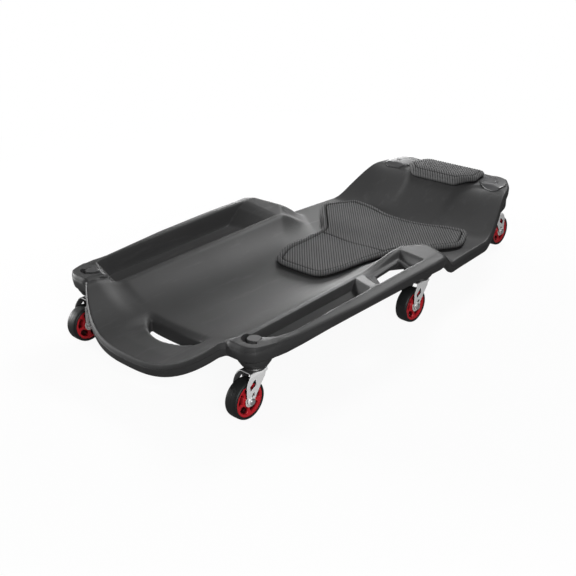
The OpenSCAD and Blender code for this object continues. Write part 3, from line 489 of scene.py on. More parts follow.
def put(tree, kind, inputs=(), **settings):
    """New node in a tree. inputs are (name or number, value or socket to link) pairs."""
    node = tree.nodes.new(kind)
    for key, value in settings.items():
        setattr(node, key, value)
    for label, given in inputs:
        if isinstance(given, bpy.types.NodeSocket):
            tree.links.new(given, node.inputs[label])
        else:
            node.inputs[label].default_value = given
    return node


def spread(tree, given, low, high, start=0.0, end=1.0, **settings):
    """Map Range node's output: low to high of the given socket becomes start to end."""
    return put(tree, "ShaderNodeMapRange", [("Value", given), ("From Min", low), ("From Max", high),
                                            ("To Min", start), ("To Max", end)], **settings).outputs[0]


def calc(tree, operation, *inputs, **settings):
    """Math node's output for two or three values or sockets."""
    return put(tree, "ShaderNodeMath", enumerate(inputs), operation=operation, **settings).outputs[0]


def object_noise(tree, scale, detail):
    """Noise over the object's own coordinates."""
    place = put(tree, "ShaderNodeTexCoord").outputs["Object"]
    noise = put(tree, "ShaderNodeTexNoise", [("Vector", place), ("Scale", scale), ("Detail", detail)])
    return noise.outputs["Fac"]


def moulded_grain(tree, given, made):
    """Moulded skin: a fine grain, and a slow mottle of the colour and the gloss."""
    tree.links.new(object_noise(tree, given["Grain Scale"], 3.0), made["Height"])
    tree.links.new(object_noise(tree, given["Mottle Scale"], 4.0), made["Mottle"])


def handling_streaks(tree, given, made):
    """Fine handling streaks that run along the piece: noise drawn out along x, cut to its peaks."""
    place = put(tree, "ShaderNodeTexCoord").outputs["Object"]
    drawn = put(tree, "ShaderNodeMapping", [("Vector", place), ("Scale", (0.16, 1.0, 1.0)),
                                            ("Rotation", (0, 0, 0.5))]).outputs[0]
    noise = put(tree, "ShaderNodeTexNoise", [("Vector", drawn), ("Scale", given["Scale"]), ("Detail", 6.0),
                                             ("Roughness", 0.7)]).outputs["Fac"]
    peaks = calc(tree, "SUBTRACT", noise, given["Threshold"])
    tree.links.new(calc(tree, "MULTIPLY", peaks, 7.0, use_clamp=True), made["Mask"])


def edge_wear(tree, given, made):
    """Edge wear: how convex the surface is, broken up by noise, as a mask that is 1 on a worn edge."""
    edge = spread(tree, put(tree, "ShaderNodeNewGeometry").outputs["Pointiness"], 0.53, 0.62)
    broken = calc(tree, "MULTIPLY", edge, object_noise(tree, given["Scale"], 3.0))
    tree.links.new(calc(tree, "MULTIPLY", broken, given["Amount"], use_clamp=True), made["Mask"])


EFFECTS = {
    "moulded_grain": (moulded_grain, {"Grain Scale": 900.0, "Mottle Scale": 9.0}, ("Height", "Mottle")),
    "handling_streaks": (handling_streaks, {"Scale": 40.0, "Threshold": 0.56}, ("Mask",)),
    "edge_wear": (edge_wear, {"Amount": 0.5, "Scale": 60.0}, ("Mask",)),
}


def effect(name):
    """Node group of one of the effects, made on its first use, with float inputs and outputs."""
    found = bpy.data.node_groups.get(name)
    if found:
        return found
    fill_in, inputs, outputs = EFFECTS[name]
    group = bpy.data.node_groups.new(name, "ShaderNodeTree")
    for label, value in inputs.items():
        socket = group.interface.new_socket(name=label, in_out="INPUT", socket_type="NodeSocketFloat")
        socket.default_value = value
    for label in outputs:
        group.interface.new_socket(name=label, in_out="OUTPUT", socket_type="NodeSocketFloat")
    fill_in(group, group.nodes.new("NodeGroupInput").outputs, group.nodes.new("NodeGroupOutput").inputs)
    return group


def finish(name, colour, roughness, grain=(900.0, 0.00002), mottle=0.12, streaks=0.0, wear=0.0, metallic=0.0,
           specular=0.5, takes_painted_shading=False):
    """Finished material: the colour moved by the mottle, the streaks and the wear, its roughness likewise,
    and the grain as a bump of the given depth in metres. One that takes painted shading multiplies its
    colour by its piece's painted shade and painted highlight."""
    found = bpy.data.materials.get("finished_" + name)
    if found:
        return found
    material = bpy.data.materials.new("finished_" + name)
    material.use_nodes = True
    tree = material.node_tree
    shader = tree.nodes["Principled BSDF"]
    scale, depth = grain
    skin = put(tree, "ShaderNodeGroup", [("Grain Scale", scale)], node_tree=effect("moulded_grain")).outputs
    level = spread(tree, skin["Mottle"], 0.3, 0.7, 1 - mottle, 1 + mottle)
    for amount, mark in ((streaks, "handling_streaks"), (wear, "edge_wear")):
        if amount:
            mask = put(tree, "ShaderNodeGroup", node_tree=effect(mark)).outputs["Mask"]
            level = calc(tree, "MULTIPLY_ADD", mask, amount, level)
    tone = level
    # Painted shade and painted highlight: the colour is multiplied by the piece's painted shading attribute.
    if takes_painted_shading:
        painted_shading_input = put(tree, "ShaderNodeAttribute", attribute_name="painted_shading")
        tone = calc(tree, "MULTIPLY", level, painted_shading_input.outputs["Fac"])
    tint = put(tree, "ShaderNodeVectorMath", [(0, tuple(colour)[:3]), ("Scale", tone)], operation="SCALE")
    bump = put(tree, "ShaderNodeBump", [("Height", skin["Height"]), ("Distance", depth), ("Strength", 1.0)])
    gloss = spread(tree, level, 0.7, 1.6, roughness * 1.08, roughness * 0.82)
    for label, given in (("Base Color", tint.outputs[0]), ("Roughness", gloss), ("Normal", bump.outputs[0])):
        tree.links.new(given, shader.inputs[label])
    shader.inputs["Metallic"].default_value = metallic
    shader.inputs["Specular IOR Level"].default_value = specular
    return material


def length_setting(name, description, metres):
    """Setting in metres."""
    return FloatProperty(name=name, description=description, default=metres, unit="LENGTH")


def angle_setting(name, description, radians):
    """Setting in radians."""
    return FloatProperty(name=name, description=description, default=radians, subtype="ANGLE")


def colour_setting(name, part, colour):
    """Setting of a part's colour."""
    description = "Colour of the " + part
    return FloatVectorProperty(name=name, description=description, subtype="COLOR", default=colour)


class CreeperShape(bpy.types.PropertyGroup):
    rib_pitch: length_setting("Rib pitch", "Distance between two ribs of the pads", 0.0054)
    rib_height: length_setting("Rib height", "Height of the pads' ribs", 0.0023)
    rib_angle: angle_setting("Rib angle", "Angle of the ribs to the creeper's length", 0.7246)
    back_pad_height: length_setting("Back pad height", "Thickness of the back pad's border", 0.011)
    head_pad_height: length_setting("Head pad height", "Thickness of the head pad's crown", 0.018)
    spokes: IntProperty(name="Spokes", description="Spokes in each hub", default=5, min=3, max=8)


class CreeperFinish(bpy.types.PropertyGroup):
    deck: colour_setting("Deck", "moulded deck", (0.046, 0.046, 0.0465))
    pads: colour_setting("Pads", "foam pads", (0.125, 0.125, 0.126))
    covers: colour_setting("Covers", "corner covers", (0.085, 0.085, 0.087))
    hubs: colour_setting("Hubs", "wheel hubs", (0.62, 0.02, 0.03))
    tyres: colour_setting("Tyres", "tyres", (0.013, 0.014, 0.014))
    steel: colour_setting("Steel", "zinc plated steel", (0.96, 0.96, 0.96))


class CreeperStage(bpy.types.PropertyGroup):
    azimuth: angle_setting("Azimuth", "Camera's turn about the creeper", -0.84596)
    elevation: angle_setting("Elevation", "Camera's height above the horizon", 0.42464)
    distance: length_setting("Distance", "From the camera to the point it looks at", 2.15266)
    lens: FloatProperty(name="Lens", description="Focal length in mm on a 36 mm sensor", default=58.69)
    key: FloatProperty(name="Key light", description="Watts, of which each light has a share", default=100.0)
    fill: FloatProperty(name="Fill", description="Strength of the surrounding light", default=0.1)


def spaced(*runs):
    """Positions in steps: each run is (start, end, step), joined end to end."""
    parts = [np.linspace(a, b, max(1, round((b - a) / s)), endpoint=False) for a, b, s in runs]
    return np.concatenate([*parts, [runs[-1][1]]])


def deck_plan():
    """Plan of the deck's grid: lines at shares of the way from the middle over the crest and the tray's outer
    edge to the rim, and stations that bend to the bowed foot and head ends."""
    s = spaced((CORNER_X, 20, 1.3), (20, 90, 2.4), (90, 300, 6), (300, 505, 2.3), (505, 612, 3),
               (612, 770, 7), (770, 930, 3.6), (930, HEAD_CORNER, 5))
    bowl = 1 - np.linspace(1, 0, 27) ** 1.5
    near_crest = [0.012, 0.024, 0.036, 0.048, 0.06, 0.072, 0.084, 0.097, 0.112, 0.135, 0.165, 0.2]
    near_rim = [0.84, 0.862, 0.88, 0.895, 0.91, 0.924, 0.938, 0.95, 0.962, 0.974, 0.986, 1.0]
    flank = np.concatenate([near_crest, np.linspace(0.26, 0.8, 12), near_rim])
    rim = np.array([0.1, 0.25, 0.4, 0.55, 0.68, 0.79, 0.87, 0.93, 0.97, 1.0])
    half = [(a, 0, 0) for a in bowl] + [(1, b, 0) for b in flank] + [(1, 1, g) for g in rim]
    a, b, g = np.array(half).T
    side = np.concatenate([-np.ones(len(a) - 1), np.ones(len(a))])
    a, b, g = (np.concatenate([v[:0:-1], v]) for v in (a, b, g))
    h, c, out = (f(s)[:, None] for f in (half_width, crest_y, tray_out))
    y = side * (a * c + b * (out - c) + g * (h - out))
    bend_foot = (1 - ramp(CORNER_X + EDGE_W, 20, s))[:, None]
    bend_head = ramp(HEAD_CORNER - FOOT_REACH, HEAD_CORNER - EDGE_W, s)[:, None]
    x = s[:, None] + (foot_edge(y) - CORNER_X) * bend_foot + (head_edge(y) - HEAD_CORNER) * bend_head
    return x, y


def edge_walk(grid):
    """Indices of a grid's outer ring, once round, with its inside on the left."""
    return np.concatenate([grid[:-1, 0], grid[-1, :-1], grid[:0:-1, -1], grid[0, :0:-1]])


def inward(x, y):
    """Unit vectors to the inside of a closed walk, square to its direction smoothed over five steps."""
    step = np.stack([np.roll(x, -1) - np.roll(x, 1), np.roll(y, -1) - np.roll(y, 1)], 1)
    step = sum(np.roll(step, k, 0) for k in (-2, -1, 0, 1, 2))
    return np.stack([-step[:, 1], step[:, 0]], 1) / np.hypot(step[:, 0], step[:, 1])[:, None]


def near_edge(x, y, grid):
    """Distance to the outline along the grid's lines, for the eight points next to it on each."""
    near = np.full(x.size, FAR_OFF)
    for line, others in ((grid[:, 0], grid[:, 1:9]), (grid[:, -1], grid[:, -9:-1]),
                         (grid[0], grid[1:9].T), (grid[-1], grid[-9:-1].T)):
        for row in others.T:
            near[row] = np.minimum(near[row], np.hypot(x[row] - x[line], y[row] - y[line]))
    return near


def closest_edge(x, y, grid):
    """Index of the outline's point at the nearer end of each point's grid lines, and its distance."""
    closest = np.zeros(x.size, int)
    for line, block in ((grid[:, 0], grid[:, :20]), (grid[:, -1], grid[:, -20:])):
        closest[block] = line[:, None]
    for line, block in ((grid[0], grid[:14]), (grid[-1], grid[-14:])):
        so_far = closest[block]
        d = np.hypot(x[block] - x[line], y[block] - y[line])
        e = np.hypot(x[block] - x[so_far], y[block] - y[so_far])
        closest[block] = np.where((d < e) | (so_far == 0), np.broadcast_to(line, block.shape), so_far)
    return closest, np.hypot(x - x[closest], y - y[closest])


# The deck's outer wall from its top edge down: how far in, the share of the wall's height, and a drop in mm.
WALL = ((0.9, 1.0, -0.7), (0.9, 1.0, -1.5), (0.1, 1.0, -2.2), (0.4, 0.62, 0), (2.0, 0.25, 0), (3.0, 0.1, 0),
        (4.6, 0.025, 0), (7.0, 0, 0))


def build_deck():
    """Deck: the upper surface, an outer wall with a bevel, a parting groove and a rounded foot, and the lower
    surface drawn in from the edge, all on one cut grid; the two hand holes run right through."""
    x0, y0 = deck_plan()
    grid = np.arange(x0.size).reshape(x0.shape)
    x, y, tris = cut_grid(x0, y0, open_area, (plug_hole, corner_groove, recess_share, tray_share))
    ring = edge_walk(grid)
    x[ring], y[ring] = x0.ravel()[ring], y0.ravel()[ring]
    inset = np.zeros((x.size, 2))
    inset[ring] = inward(x[ring], y[ring])
    outer = np.zeros(x.size, bool)
    outer[ring] = True

    share = wing_share(x, half_width(x))
    rim_y = y * (1 - EDGE_W / half_width(x))
    rim_z = form(x, rim_y)
    crease = rim_z - mix(8, 4, ease(-CORNER_R, 28, x) * share) - rim_bevel(x, rim_y)
    near = near_edge(x, y, grid)
    near[ring] = 0
    turn = np.sin(np.minimum(near / EDGE_W, 1) * np.pi / 2) ** 0.8
    top = deck_top(x, y)
    top = np.where(near < EDGE_W, mix(crease, np.maximum(top, crease), turn), top)
    top[ring] = crease[ring]

    lip = rim_z - LIP_T
    foot = mix(lip, mix(lip, along(RIM_UNDER, x), share), ease(-4, 8, np.abs(y) - crest_y(x)))
    bottom = deck_bottom(x, y)
    layers = [np.stack([x, y, top], 1)]
    for n, (push, height, drop) in enumerate(WALL, 1):
        z = np.where(outer, mix(foot, crease, height) + drop, mix(top, bottom, n / (len(WALL) + 1)))
        layers.append(np.stack([x + inset[:, 0] * push, y + inset[:, 1] * push, z], 1))

    closest, d = closest_edge(x, y, grid)
    pull = 10 * np.clip(1 - d / 44, 0, 1) * (inset[closest] ** 2).sum(1)
    low_x, low_y = x + inset[closest, 0] * pull, y + inset[closest, 1] * pull
    bottom = np.where(outer, foot, bottom)
    bottom = np.where(d < 14, mix(np.minimum(foot[closest], bottom + 20), bottom, ease(0, 14, d)), bottom)
    layers.append(np.stack([low_x, low_y, bottom], 1))
    return shell(tris, layers)


def castor_axes():
    """Swivel axes of the six castors: x, y, and +1 where the wheel trails to the foot end."""
    return [(x, s * y, t) for x, y, t in CASTOR_TRACKS for s in (1, -1)]


def build_seats():
    """Castor seats: six turned bosses under the deck, bored for the threaded insert."""
    seats = []
    for x, y, _ in castor_axes():
        top = 158 if x > RISE[1] else 118
        bead = [(22.0, 0), (23.2, 0.3), (24.2, 1.1), (25.0, 2.2), (26.4, 4.4), (28.0, 7), (30.5, 11),
                (32.0, 17), (32.0, top - SEAT_Z), (SEAT_BORE, top - SEAT_Z), (SEAT_BORE, 24),
                (SEAT_BORE, 1), (10.0, 0)]
        points, faces = lathe(bead, 96)
        seats.append((points + [x, y, SEAT_Z], faces))
    return joined(seats)


BACK_OUTLINE = [(367, 64), (430, 90), (495, 93), (583, 105), (698, 208), (787, 168.5), (785, 105), (764, 38)]


def mirrored(half):
    """Closed outline from its left half, the right half being its mirror image."""
    return half + [(x, -y) for x, y in reversed(half)]


def ribs(x, y, angle, pitch, height):
    """Rounded ribs: height times (|cos|^0.55), so that broad crowns meet in narrow valleys."""
    across = -x * np.sin(angle) + y * np.cos(angle)
    return height * np.abs(np.cos(np.pi * across / pitch)) ** 0.55


def rib_grid(box, angle, pitch, step):
    """Grid whose lines run along the ribs, one of them in each valley, with points a step apart."""
    (ax, ay), (bx, by) = box
    cx, cy, reach = (ax + bx) / 2, (ay + by) / 2, np.hypot(bx - ax, by - ay) / 2
    gap, count = pitch / RIB_LINES, reach * RIB_LINES / pitch
    u = (cy * np.cos(angle) - cx * np.sin(angle)) % gap - gap * np.arange(-int(count), count)
    v = np.arange(-reach, reach, step)
    u, v = np.meshgrid(u, v, indexing="ij")
    return cx + v * np.cos(angle) + u * np.sin(angle), cy + v * np.sin(angle) - u * np.cos(angle)


def pad_mesh(inside, box, height, undercut, step):
    """Pad on the deck's form: height(x, y, d) over it, d being the distance inside the outline, then a side
    that rolls under, and a flat back drawn in by the undercut. height also gives a painted shade of the
    colour; the ribs add painted shade in their valleys and a painted highlight on their crowns, and the side
    darkens in painted shade to black at the back. Returns points, triangles and this painted shading."""
    shape = bpy.context.scene.creeper_shape
    pitch, rise = shape.rib_pitch * 1000, shape.rib_height * 1000
    x, y = rib_grid(box, shape.rib_angle, pitch, step)
    x, y, tris = cut_grid(x, y, inside)
    used = np.unique(tris)
    tri = np.searchsorted(used, tris)
    x, y = x[used], y[used]
    d = np.maximum(inside(x, y), 0)
    gx, gy = slope_of(inside, x, y)
    size = np.maximum(np.hypot(gx, gy), 0.2)
    gx, gy = gx / size, gy / size
    under = form(x, y) + PAD_GAP
    tall, tone = height(x, y, d)
    rib = ribs(x, y, shape.rib_angle, pitch, rise)
    # Painted shade in the rib valleys, down to 0.12, and painted highlight on the rib crowns, up to 1.3.
    tone = tone * mix(0.12, 1.3, rib / rise)
    inner = undercut * np.clip(1 - d / 30, 0, 1)
    # The fourth column is the painted shading, which fades to black down the side as painted shade.
    layers = [np.stack([x + gx * push, y + gy * push, under + (tall + rib) * share, tone * share], 1)
              for push, share in ((0, 1), (0.35, 0.82), (0.6, 0.6), (1.2, 0.4), (2.4, 0.2), (inner, 0))]
    points, faces = shell(tri, layers)
    return points[:, :3], faces, points[:, 3]


def build_back_pad():
    """Back pad: a rolled border, half an ellipse in section, a narrow groove inside it, a flat ribbed field,
    and a creased line across the waist."""
    inside = inside_outline(rounded_outline(mirrored(BACK_OUTLINE), 22))
    t = bpy.context.scene.creeper_shape.back_pad_height * 1000
    waist = np.array([(-67, 563), (-14, 556.5), (14, 556.5), (67, 563)])
    crown, groove_at = 6.4, 12.7

    def height(x, y, d):
        roll = 0.5 + 0.5 * np.sqrt(np.clip(1 - ((d - crown) / 6.8) ** 2, 0, 1))
        roll = np.where(d < crown, 0.42 + 0.58 * np.sqrt(np.clip(1 - (d / crown - 1) ** 2, 0, 1)), roll)
        field = 0.93 + 0.05 * ease(14, 60, d)
        share = mix(np.maximum(roll, 0.62), field, ease(11.5, 13.5, d))
        share = share - 0.42 * np.exp(-((d - groove_at) / 1.7) ** 2)
        crease = np.exp(-((x - along(waist, y)) / 1.8) ** 2) * ease(9, 13, d)
        # Painted shade: the colour is darkened along the groove and the waist crease.
        dark = np.exp(-((d - groove_at) / 2.0) ** 2) + crease
        return t * (share - 0.4 * crease), 1 - 0.8 * np.minimum(dark, 1)

    return pad_mesh(inside, ((360, -212), (795, 212)), height, 4, 3.0)


def build_head_pad():
    """Head pad: highest along its foot side, with a rolled border, and half as high at the head end."""
    half = [(884, 64.6), (904.5, 83.8), (925, 101), (938, 97.5), (951, 94.4), (974.7, 92.9), (992, 79.8)]
    inside = inside_outline(rounded_outline(mirrored(half), 12))
    t = bpy.context.scene.creeper_shape.head_pad_height * 1000

    def height(x, y, d):
        tall = mix(t, t * 0.5, ramp(half[0][0], half[-1][0], x))
        share = np.interp(d, [0, 1.5, 4, 7, 10, 20, 38], [0.36, 0.58, 0.74, 0.82, 0.86, 0.96, 1.0])
        # The second value is painted shade: a dark line 12 mm inside the outline.
        return tall * share, 1 - 0.8 * np.exp(-((d - 12) / 1.4) ** 2)

    return pad_mesh(inside, ((880, -108), (996, 108)), height, 3, 2.0)


COVER_OUTLINE = np.array([(-39, 24), (-33, 32), (-18, 36), (4, 33), (22, 22), (34, 8), (39, -10), (37, -26),
                          (26, -35), (6, -38), (-14, -33), (-25, -24), (-31, -10), (-37, 10)])
COVER_X, COVER_Y = 948, 135
COVER_GAP = 0.5
COVER_SCREWS = ((945, 143), (973, 123))


def build_cover(side):
    """Corner cover: rings from the middle outwards on the deck's form, crowned by 1 mm, its edge rounded and
    turned down; a small dished seat sinks round each screw."""
    ring = rounded_outline(COVER_OUTLINE, 20, 7)
    share = np.array([1.0, 0.995, 0.98, 0.96, 0.93, 0.88, 0.8, 0.7, 0.6, 0.5, 0.4, 0.3, 0.2, 0.1, 0.02])
    lift = np.array([1.3, 1.9, 2.4, 2.75, 3.0, 3.15, 3.3, 3.5, 3.65, 3.75, 3.85, 3.9, 3.95, 4.0, 4.0])
    x = COVER_X + ring[:, 0] * share[:, None]
    y = COVER_Y + ring[:, 1] * share[:, None]
    back = form(x, y) + COVER_GAP
    z = back + lift[:, None]
    for sx, sy in COVER_SCREWS:
        z = z - 1.6 * ease(4.6, 3.2, np.hypot(x - sx, y - sy))
    low = np.stack([x, y * side, back], -1)[5::-1]
    rows = np.concatenate([low, np.stack([x, y * side, z], -1)])
    m, n = rows.shape[:2]
    index = np.arange(m * n).reshape(m, n)
    a, b = index[:-1], index[1:]
    c, d = np.roll(b, -1, 1), np.roll(a, -1, 1)
    faces = [np.stack([a, d, c], -1).reshape(-1, 3), np.stack([a, c, b], -1).reshape(-1, 3)]
    points = np.concatenate([rows.reshape(-1, 3), rows[-1].mean(0)[None], rows[0].mean(0)[None]])
    last = index[-1]
    faces.append(np.stack([last, np.roll(last, -1), np.full(n, m * n)], 1))
    faces.append(np.stack([np.roll(index[0], -1), index[0], np.full(n, m * n + 1)], 1))
    faces = np.concatenate(faces)
    return points, faces if side < 0 else faces[:, ::-1]


def on_castor(mesh, k):
    """A castor's part, drawn with its wheel trailing to -x and its outer side to +y, put in place k."""
    (x, y, trail), (points, faces) = castor_axes()[k], mesh
    side = 1 if y > 0 else -1
    points = points * [trail, side, 1] + [x, y, 0]
    return points, faces if trail * side > 0 else faces[:, ::-1]


def on_axle(mesh):
    """A part turned about z, laid on the wheel's axle: its z goes to y."""
    points, faces = mesh
    return np.stack([points[:, 0] - TRAIL, points[:, 2], WHEEL_R - points[:, 1]], 1), faces


def build_fork():
    """Fork: one steel strip bent over the wheel. A point is at x and at a length u along the bent section:
    down a leg, round a bend and across the crown. Outline and slots are cut in that flat strip."""
    bend_z = CROWN_TOP - FORK_BEND
    flat = LEG_OUT - FORK_BEND
    arc = FORK_BEND * np.pi / 2
    half = flat + arc + bend_z - (WHEEL_R - 9)

    def height_at(u):
        return bend_z - (u - flat - arc)

    outline = inside_outline(rounded_outline(
        [(17, CROWN_TOP + 8), (17, CROWN_TOP - 4), (9, 77.5), (-2, 62.5), (-15, 45), (-18.2, 36),
         (-22.5, 29.7), (-27, 28.5), (-31.5, 29.7), (-35.8, 36), (-38, 50), (-38, CROWN_TOP - 19),
         (-35, CROWN_TOP - 11), (-24, CROWN_TOP + 2), (-24, CROWN_TOP + 30), (17, CROWN_TOP + 30)], 4))
    slots = [inside_outline(rounded_outline(s, 1.5)) for s in (
        [(-16.5, 77), (-14.2, 65.2), (-28.2, 57.3), (-30.5, 65.7)],
        [(-18.8, 52.5), (-18.8, 46.6), (-25.8, 45.5), (-27, 49.3)])]

    def keep(x, u):
        v = np.abs(u)
        z = height_at(v)
        d = np.minimum(outline(x, z), 40)
        for s in slots:
            d = np.minimum(d, -s(x, z))
        crown = rounded_min([x + 24, 17 - x, 21 + v * 0], 3)
        nose = np.where(x > 9, 8 - np.hypot(x - 9, np.maximum(v - (flat + 1), 0)), 8)
        d = np.where(v < flat, crown, d)
        return np.minimum(np.minimum(d, nose), np.hypot(x, v) - PIN_BORE)

    x, u = np.meshgrid(np.arange(-39, 18.5, 1.45), np.linspace(-half - 1, half + 1, 111), indexing="ij")
    x, u, tris = cut_grid(x, u, keep)
    v, side = np.abs(u), np.sign(u)
    t = np.clip((v - flat) / arc, 0, 1) * np.pi / 2
    z = np.where(v < flat, CROWN_TOP, np.where(v < flat + arc, bend_z + FORK_BEND * np.cos(t), height_at(v)))
    y = side * np.where(v < flat, v, np.where(v < flat + arc, flat + FORK_BEND * np.sin(t), LEG_OUT))
    ny, nz = side * np.sin(t), np.cos(t)
    gx, gy = slope_of(keep, x, u)
    size = np.maximum(np.hypot(gx, gy), 0.2)
    edge = keep(x, u) < 0.02
    layers = []
    rounding = ((0, 0.35), (0.12, 0.1), (0.4, 0))
    for depth, push in (*rounding, *((FORK_T - depth, push) for depth, push in reversed(rounding))):
        du = np.where(edge, gy / size * push, 0)
        dx = np.where(edge, gx / size * push, 0)
        layers.append(np.stack([x + dx, y - ny * depth + du * nz, z - nz * depth - du * ny], 1))
    return shell(tris, layers)


def fork_painted_shade(points):
    """Painted shade of the fork, from the depth under its outside: 1 on the legs' outsides and the crown's
    edge, and painted shade near black on the inside faces, the legs' side walls and the top of the crown."""
    q = np.maximum(np.abs(points[:, 1]) - LEG_OUT + FORK_BEND, 0)
    w = np.maximum(points[:, 2] - CROWN_TOP + FORK_BEND, 0)
    depth = FORK_BEND - np.hypot(q, w)
    start = np.where(points[:, 2] > CROWN_TOP - 6, 1.9, 0.15)
    top = ramp(2.5, 1.0, q) * ramp(0.25, 0.05, depth)
    return mix(1, 0.06, np.maximum(np.clip((depth - start) * 4, 0, 1), top))


def build_dust_cups():
    """Dust cups: two flat turned rings between the fork's legs and the hub's boss."""
    ring = [(4.05, 13.5), (11.4, 13.5), (12.0, 13.7), (12.2, 14.0), (12.0, 14.3), (11.6, 14.45),
            (4.05, 14.45)]
    points, faces = lathe(ring, 72)
    return joined([(points, faces), (points * [1, 1, -1], faces[:, ::-1])])


def build_hub():
    """Hub: half thickness over a polar grid, the greatest of the boss, the rim, the web and the flared
    spokes, each with rounded shoulders; the two faces are joined at the rim and in the bore."""
    web, rim_edge, bore_edge = 1.6, 11.2, 12.8
    count = bpy.context.scene.creeper_shape.spokes
    t = np.linspace(0, 2 * np.pi, 220, endpoint=False)
    r = np.array([6.6, 7.0, 8.2, 9.4, 10.0, 10.5, 11.0, 11.6, 12.4, 13.4, 14.6, 16, 17.4, 18.8, 20.2, 21.6,
                  22.8, 23.8, 24.6, 25.2, 25.8, 26.4, 27, 27.6, 28.6, 29.6, 30.4, 31.0, 31.4, 31.5])
    r, t = r[:, None], t[None, :]
    boss = np.maximum(mix(web, 13.2, ease(11.8, 10.2, r)), mix(web, 10.6, ease(15.6, 14.2, r)))
    rim = mix(web, 12.0, ease(25.0, 26.8, r))
    spoke_angle = (t * count / (2 * np.pi) + 0.25) % 1 - 0.5
    off = np.abs(np.sin(spoke_angle * 2 * np.pi / count)) * r
    width = 3.4 + 2.4 * ease(17, 12, r) + 2.4 * ease(20, 26, r)
    crown = 10.6 - 0.6 * ease(12, 19, r) + 1.2 * ease(19, 26, r)
    spoke = mix(web, crown, ease(width + 0.9, width - 0.9, off))
    tall = np.maximum(np.maximum(boss, rim), spoke)
    tall = np.where(r > 31.2, rim_edge, np.where(r < 6.8, bore_edge, tall))
    x, y = r * np.cos(t), r * np.sin(t)
    upper, lower = np.stack([x, y, tall], -1), np.stack([x, y, -tall], -1)
    return tube(np.concatenate([lower, upper[::-1]]).transpose(1, 0, 2)[:, ::-1])


def build_tyre():
    """Tyre: ring with rounded shoulders, a narrow flat tread and a raised parting line on its middle."""
    side = [(30.05, 0), (30.05, 11.0), (31.55, 11.05), (31.6, 12.8), (32.2, 13.4), (33.4, 13.6), (34.6, 13.4),
            (35.5, 12.8), (36.2, 11.8), (36.75, 10.4), (37.1, 8.8), (37.3, 6.8), (37.4, 4.6), (37.45, 2.2),
            (37.44, 0.5), (37.5, 0.2)]
    lower = [(r, -z) for r, z in side[:0:-1]]
    return lathe((side + lower)[::-1], 150)


class CREEPER_OT_deck(bpy.types.Operator):
    """Add the moulded deck and the castor seats under it"""
    bl_idname = "creeper.add_deck"
    bl_label = "Deck"

    def execute(self, context):
        colour = context.scene.creeper_finish.deck
        material = finish("deck_plastic", colour, 0.52, (1400.0, 0.00003), 0.07, streaks=0.3, wear=0.25,
                          specular=0.3)
        add_piece("deck_moulding", build_deck(), material, DECK_BODY, ["deck"], sharp=52)
        add_piece("castor_seats", build_seats(), material, DECK_BODY, sharp=60)
        return {"FINISHED"}


class CREEPER_OT_pads(bpy.types.Operator):
    """Add the ribbed back pad and head pad"""
    bl_idname = "creeper.add_pads"
    bl_label = "Pads"

    def execute(self, context):
        colour = context.scene.creeper_finish.pads
        material = finish("pad_foam", colour, 0.8, (1800.0, 0.00004), 0.10, specular=0.08, takes_painted_shading=True)
        for node, build in (("back_pad", build_back_pad), ("head_pad", build_head_pad)):
            # Each pad brings its painted shading: shade in the valleys and grooves, highlight on the rib
            # crowns.
            *mesh, painted_shading = build()
            piece = add_piece(node + "_foam", mesh, material, DECK_BODY, [node], sharp=180,
                              painted_shading=painted_shading)
        return {"FINISHED"}


class CREEPER_OT_covers(bpy.types.Operator):
    """Add the two corner covers and finish their screws and the corner plugs"""
    bl_idname = "creeper.add_covers"
    bl_label = "Corner covers"

    def execute(self, context):
        colours = context.scene.creeper_finish
        material = finish("cover_plastic", colours.covers, 0.34, (700.0, 0.00001), 0.05, streaks=0.05)
        for side, hand in ((1, "left"), (-1, "right")):
            add_piece("cover_" + hand, build_cover(side), material, DECK_BODY,
                      ["corner_cover_" + hand], sharp=60)
        dark = finish("black_oxide", (0.03, 0.03, 0.031), 0.4, (600.0, 0.00001), 0.1, metallic=0.6)
        plug = finish("plug_plastic", (0.06, 0.06, 0.061), 0.4, (1200.0, 0.00002), 0.08)
        repaint("cover_screws", dark)
        repaint("corner_plugs", plug)
        return {"FINISHED"}


def repaint(node, material):
    """Give a CAD node a finished material in place of its plain one."""
    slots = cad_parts[node].data.materials
    slots.clear()
    slots.append(material)


class CREEPER_OT_forks(bpy.types.Operator):
    """Add the six bent steel forks and their dust cups, and finish the swivels' steel"""
    bl_idname = "creeper.add_forks"
    bl_label = "Forks"

    def execute(self, context):
        colour = context.scene.creeper_finish.steel
        steel = finish("zinc_steel", colour, 0.34, (500.0, 0.00001), 0.05, streaks=0.04, metallic=0.95)
        fork_steel = finish("fork_zinc", colour, 0.4, (500.0, 0.00001), 0.05, streaks=0.04, takes_painted_shading=True)
        fork, cups = build_fork(), on_axle(build_dust_cups())
        white = finish("cup_plastic", (0.78, 0.77, 0.74), 0.4, (900.0, 0.00001), 0.04)
        for k, name in enumerate(CASTOR_NAMES):
            # Painted shade: the fork is darkened inside, on its legs' side walls and on its crown's top.
            add_piece("fork_steel_" + name, on_castor(fork, k), fork_steel, "swivel_" + name,
                      ["fork_" + name], sharp=50, painted_shading=fork_painted_shade(fork[0]))
            for part in ("race_balls_", "axle_bolt_", "axle_nut_", "axle_sleeve_"):
                repaint(part + name, steel)
            add_piece("dust_cups_" + name, on_castor(cups, k), white, "swivel_" + name,
                      ["thrust_washers_" + name], sharp=50)
        # Painted shade: the kingpins, upper races and stem inserts get dark steel because they sit in shade
        # under the seats.
        shade_darkened_steel = finish("race_steel_painted_shade", (0.2, 0.2, 0.2), 0.45, (500.0, 0.00001), 0.05, metallic=0.9)
        for node in ("kingpins", "upper_races", "stem_inserts"):
            repaint(node, shade_darkened_steel)
        return {"FINISHED"}


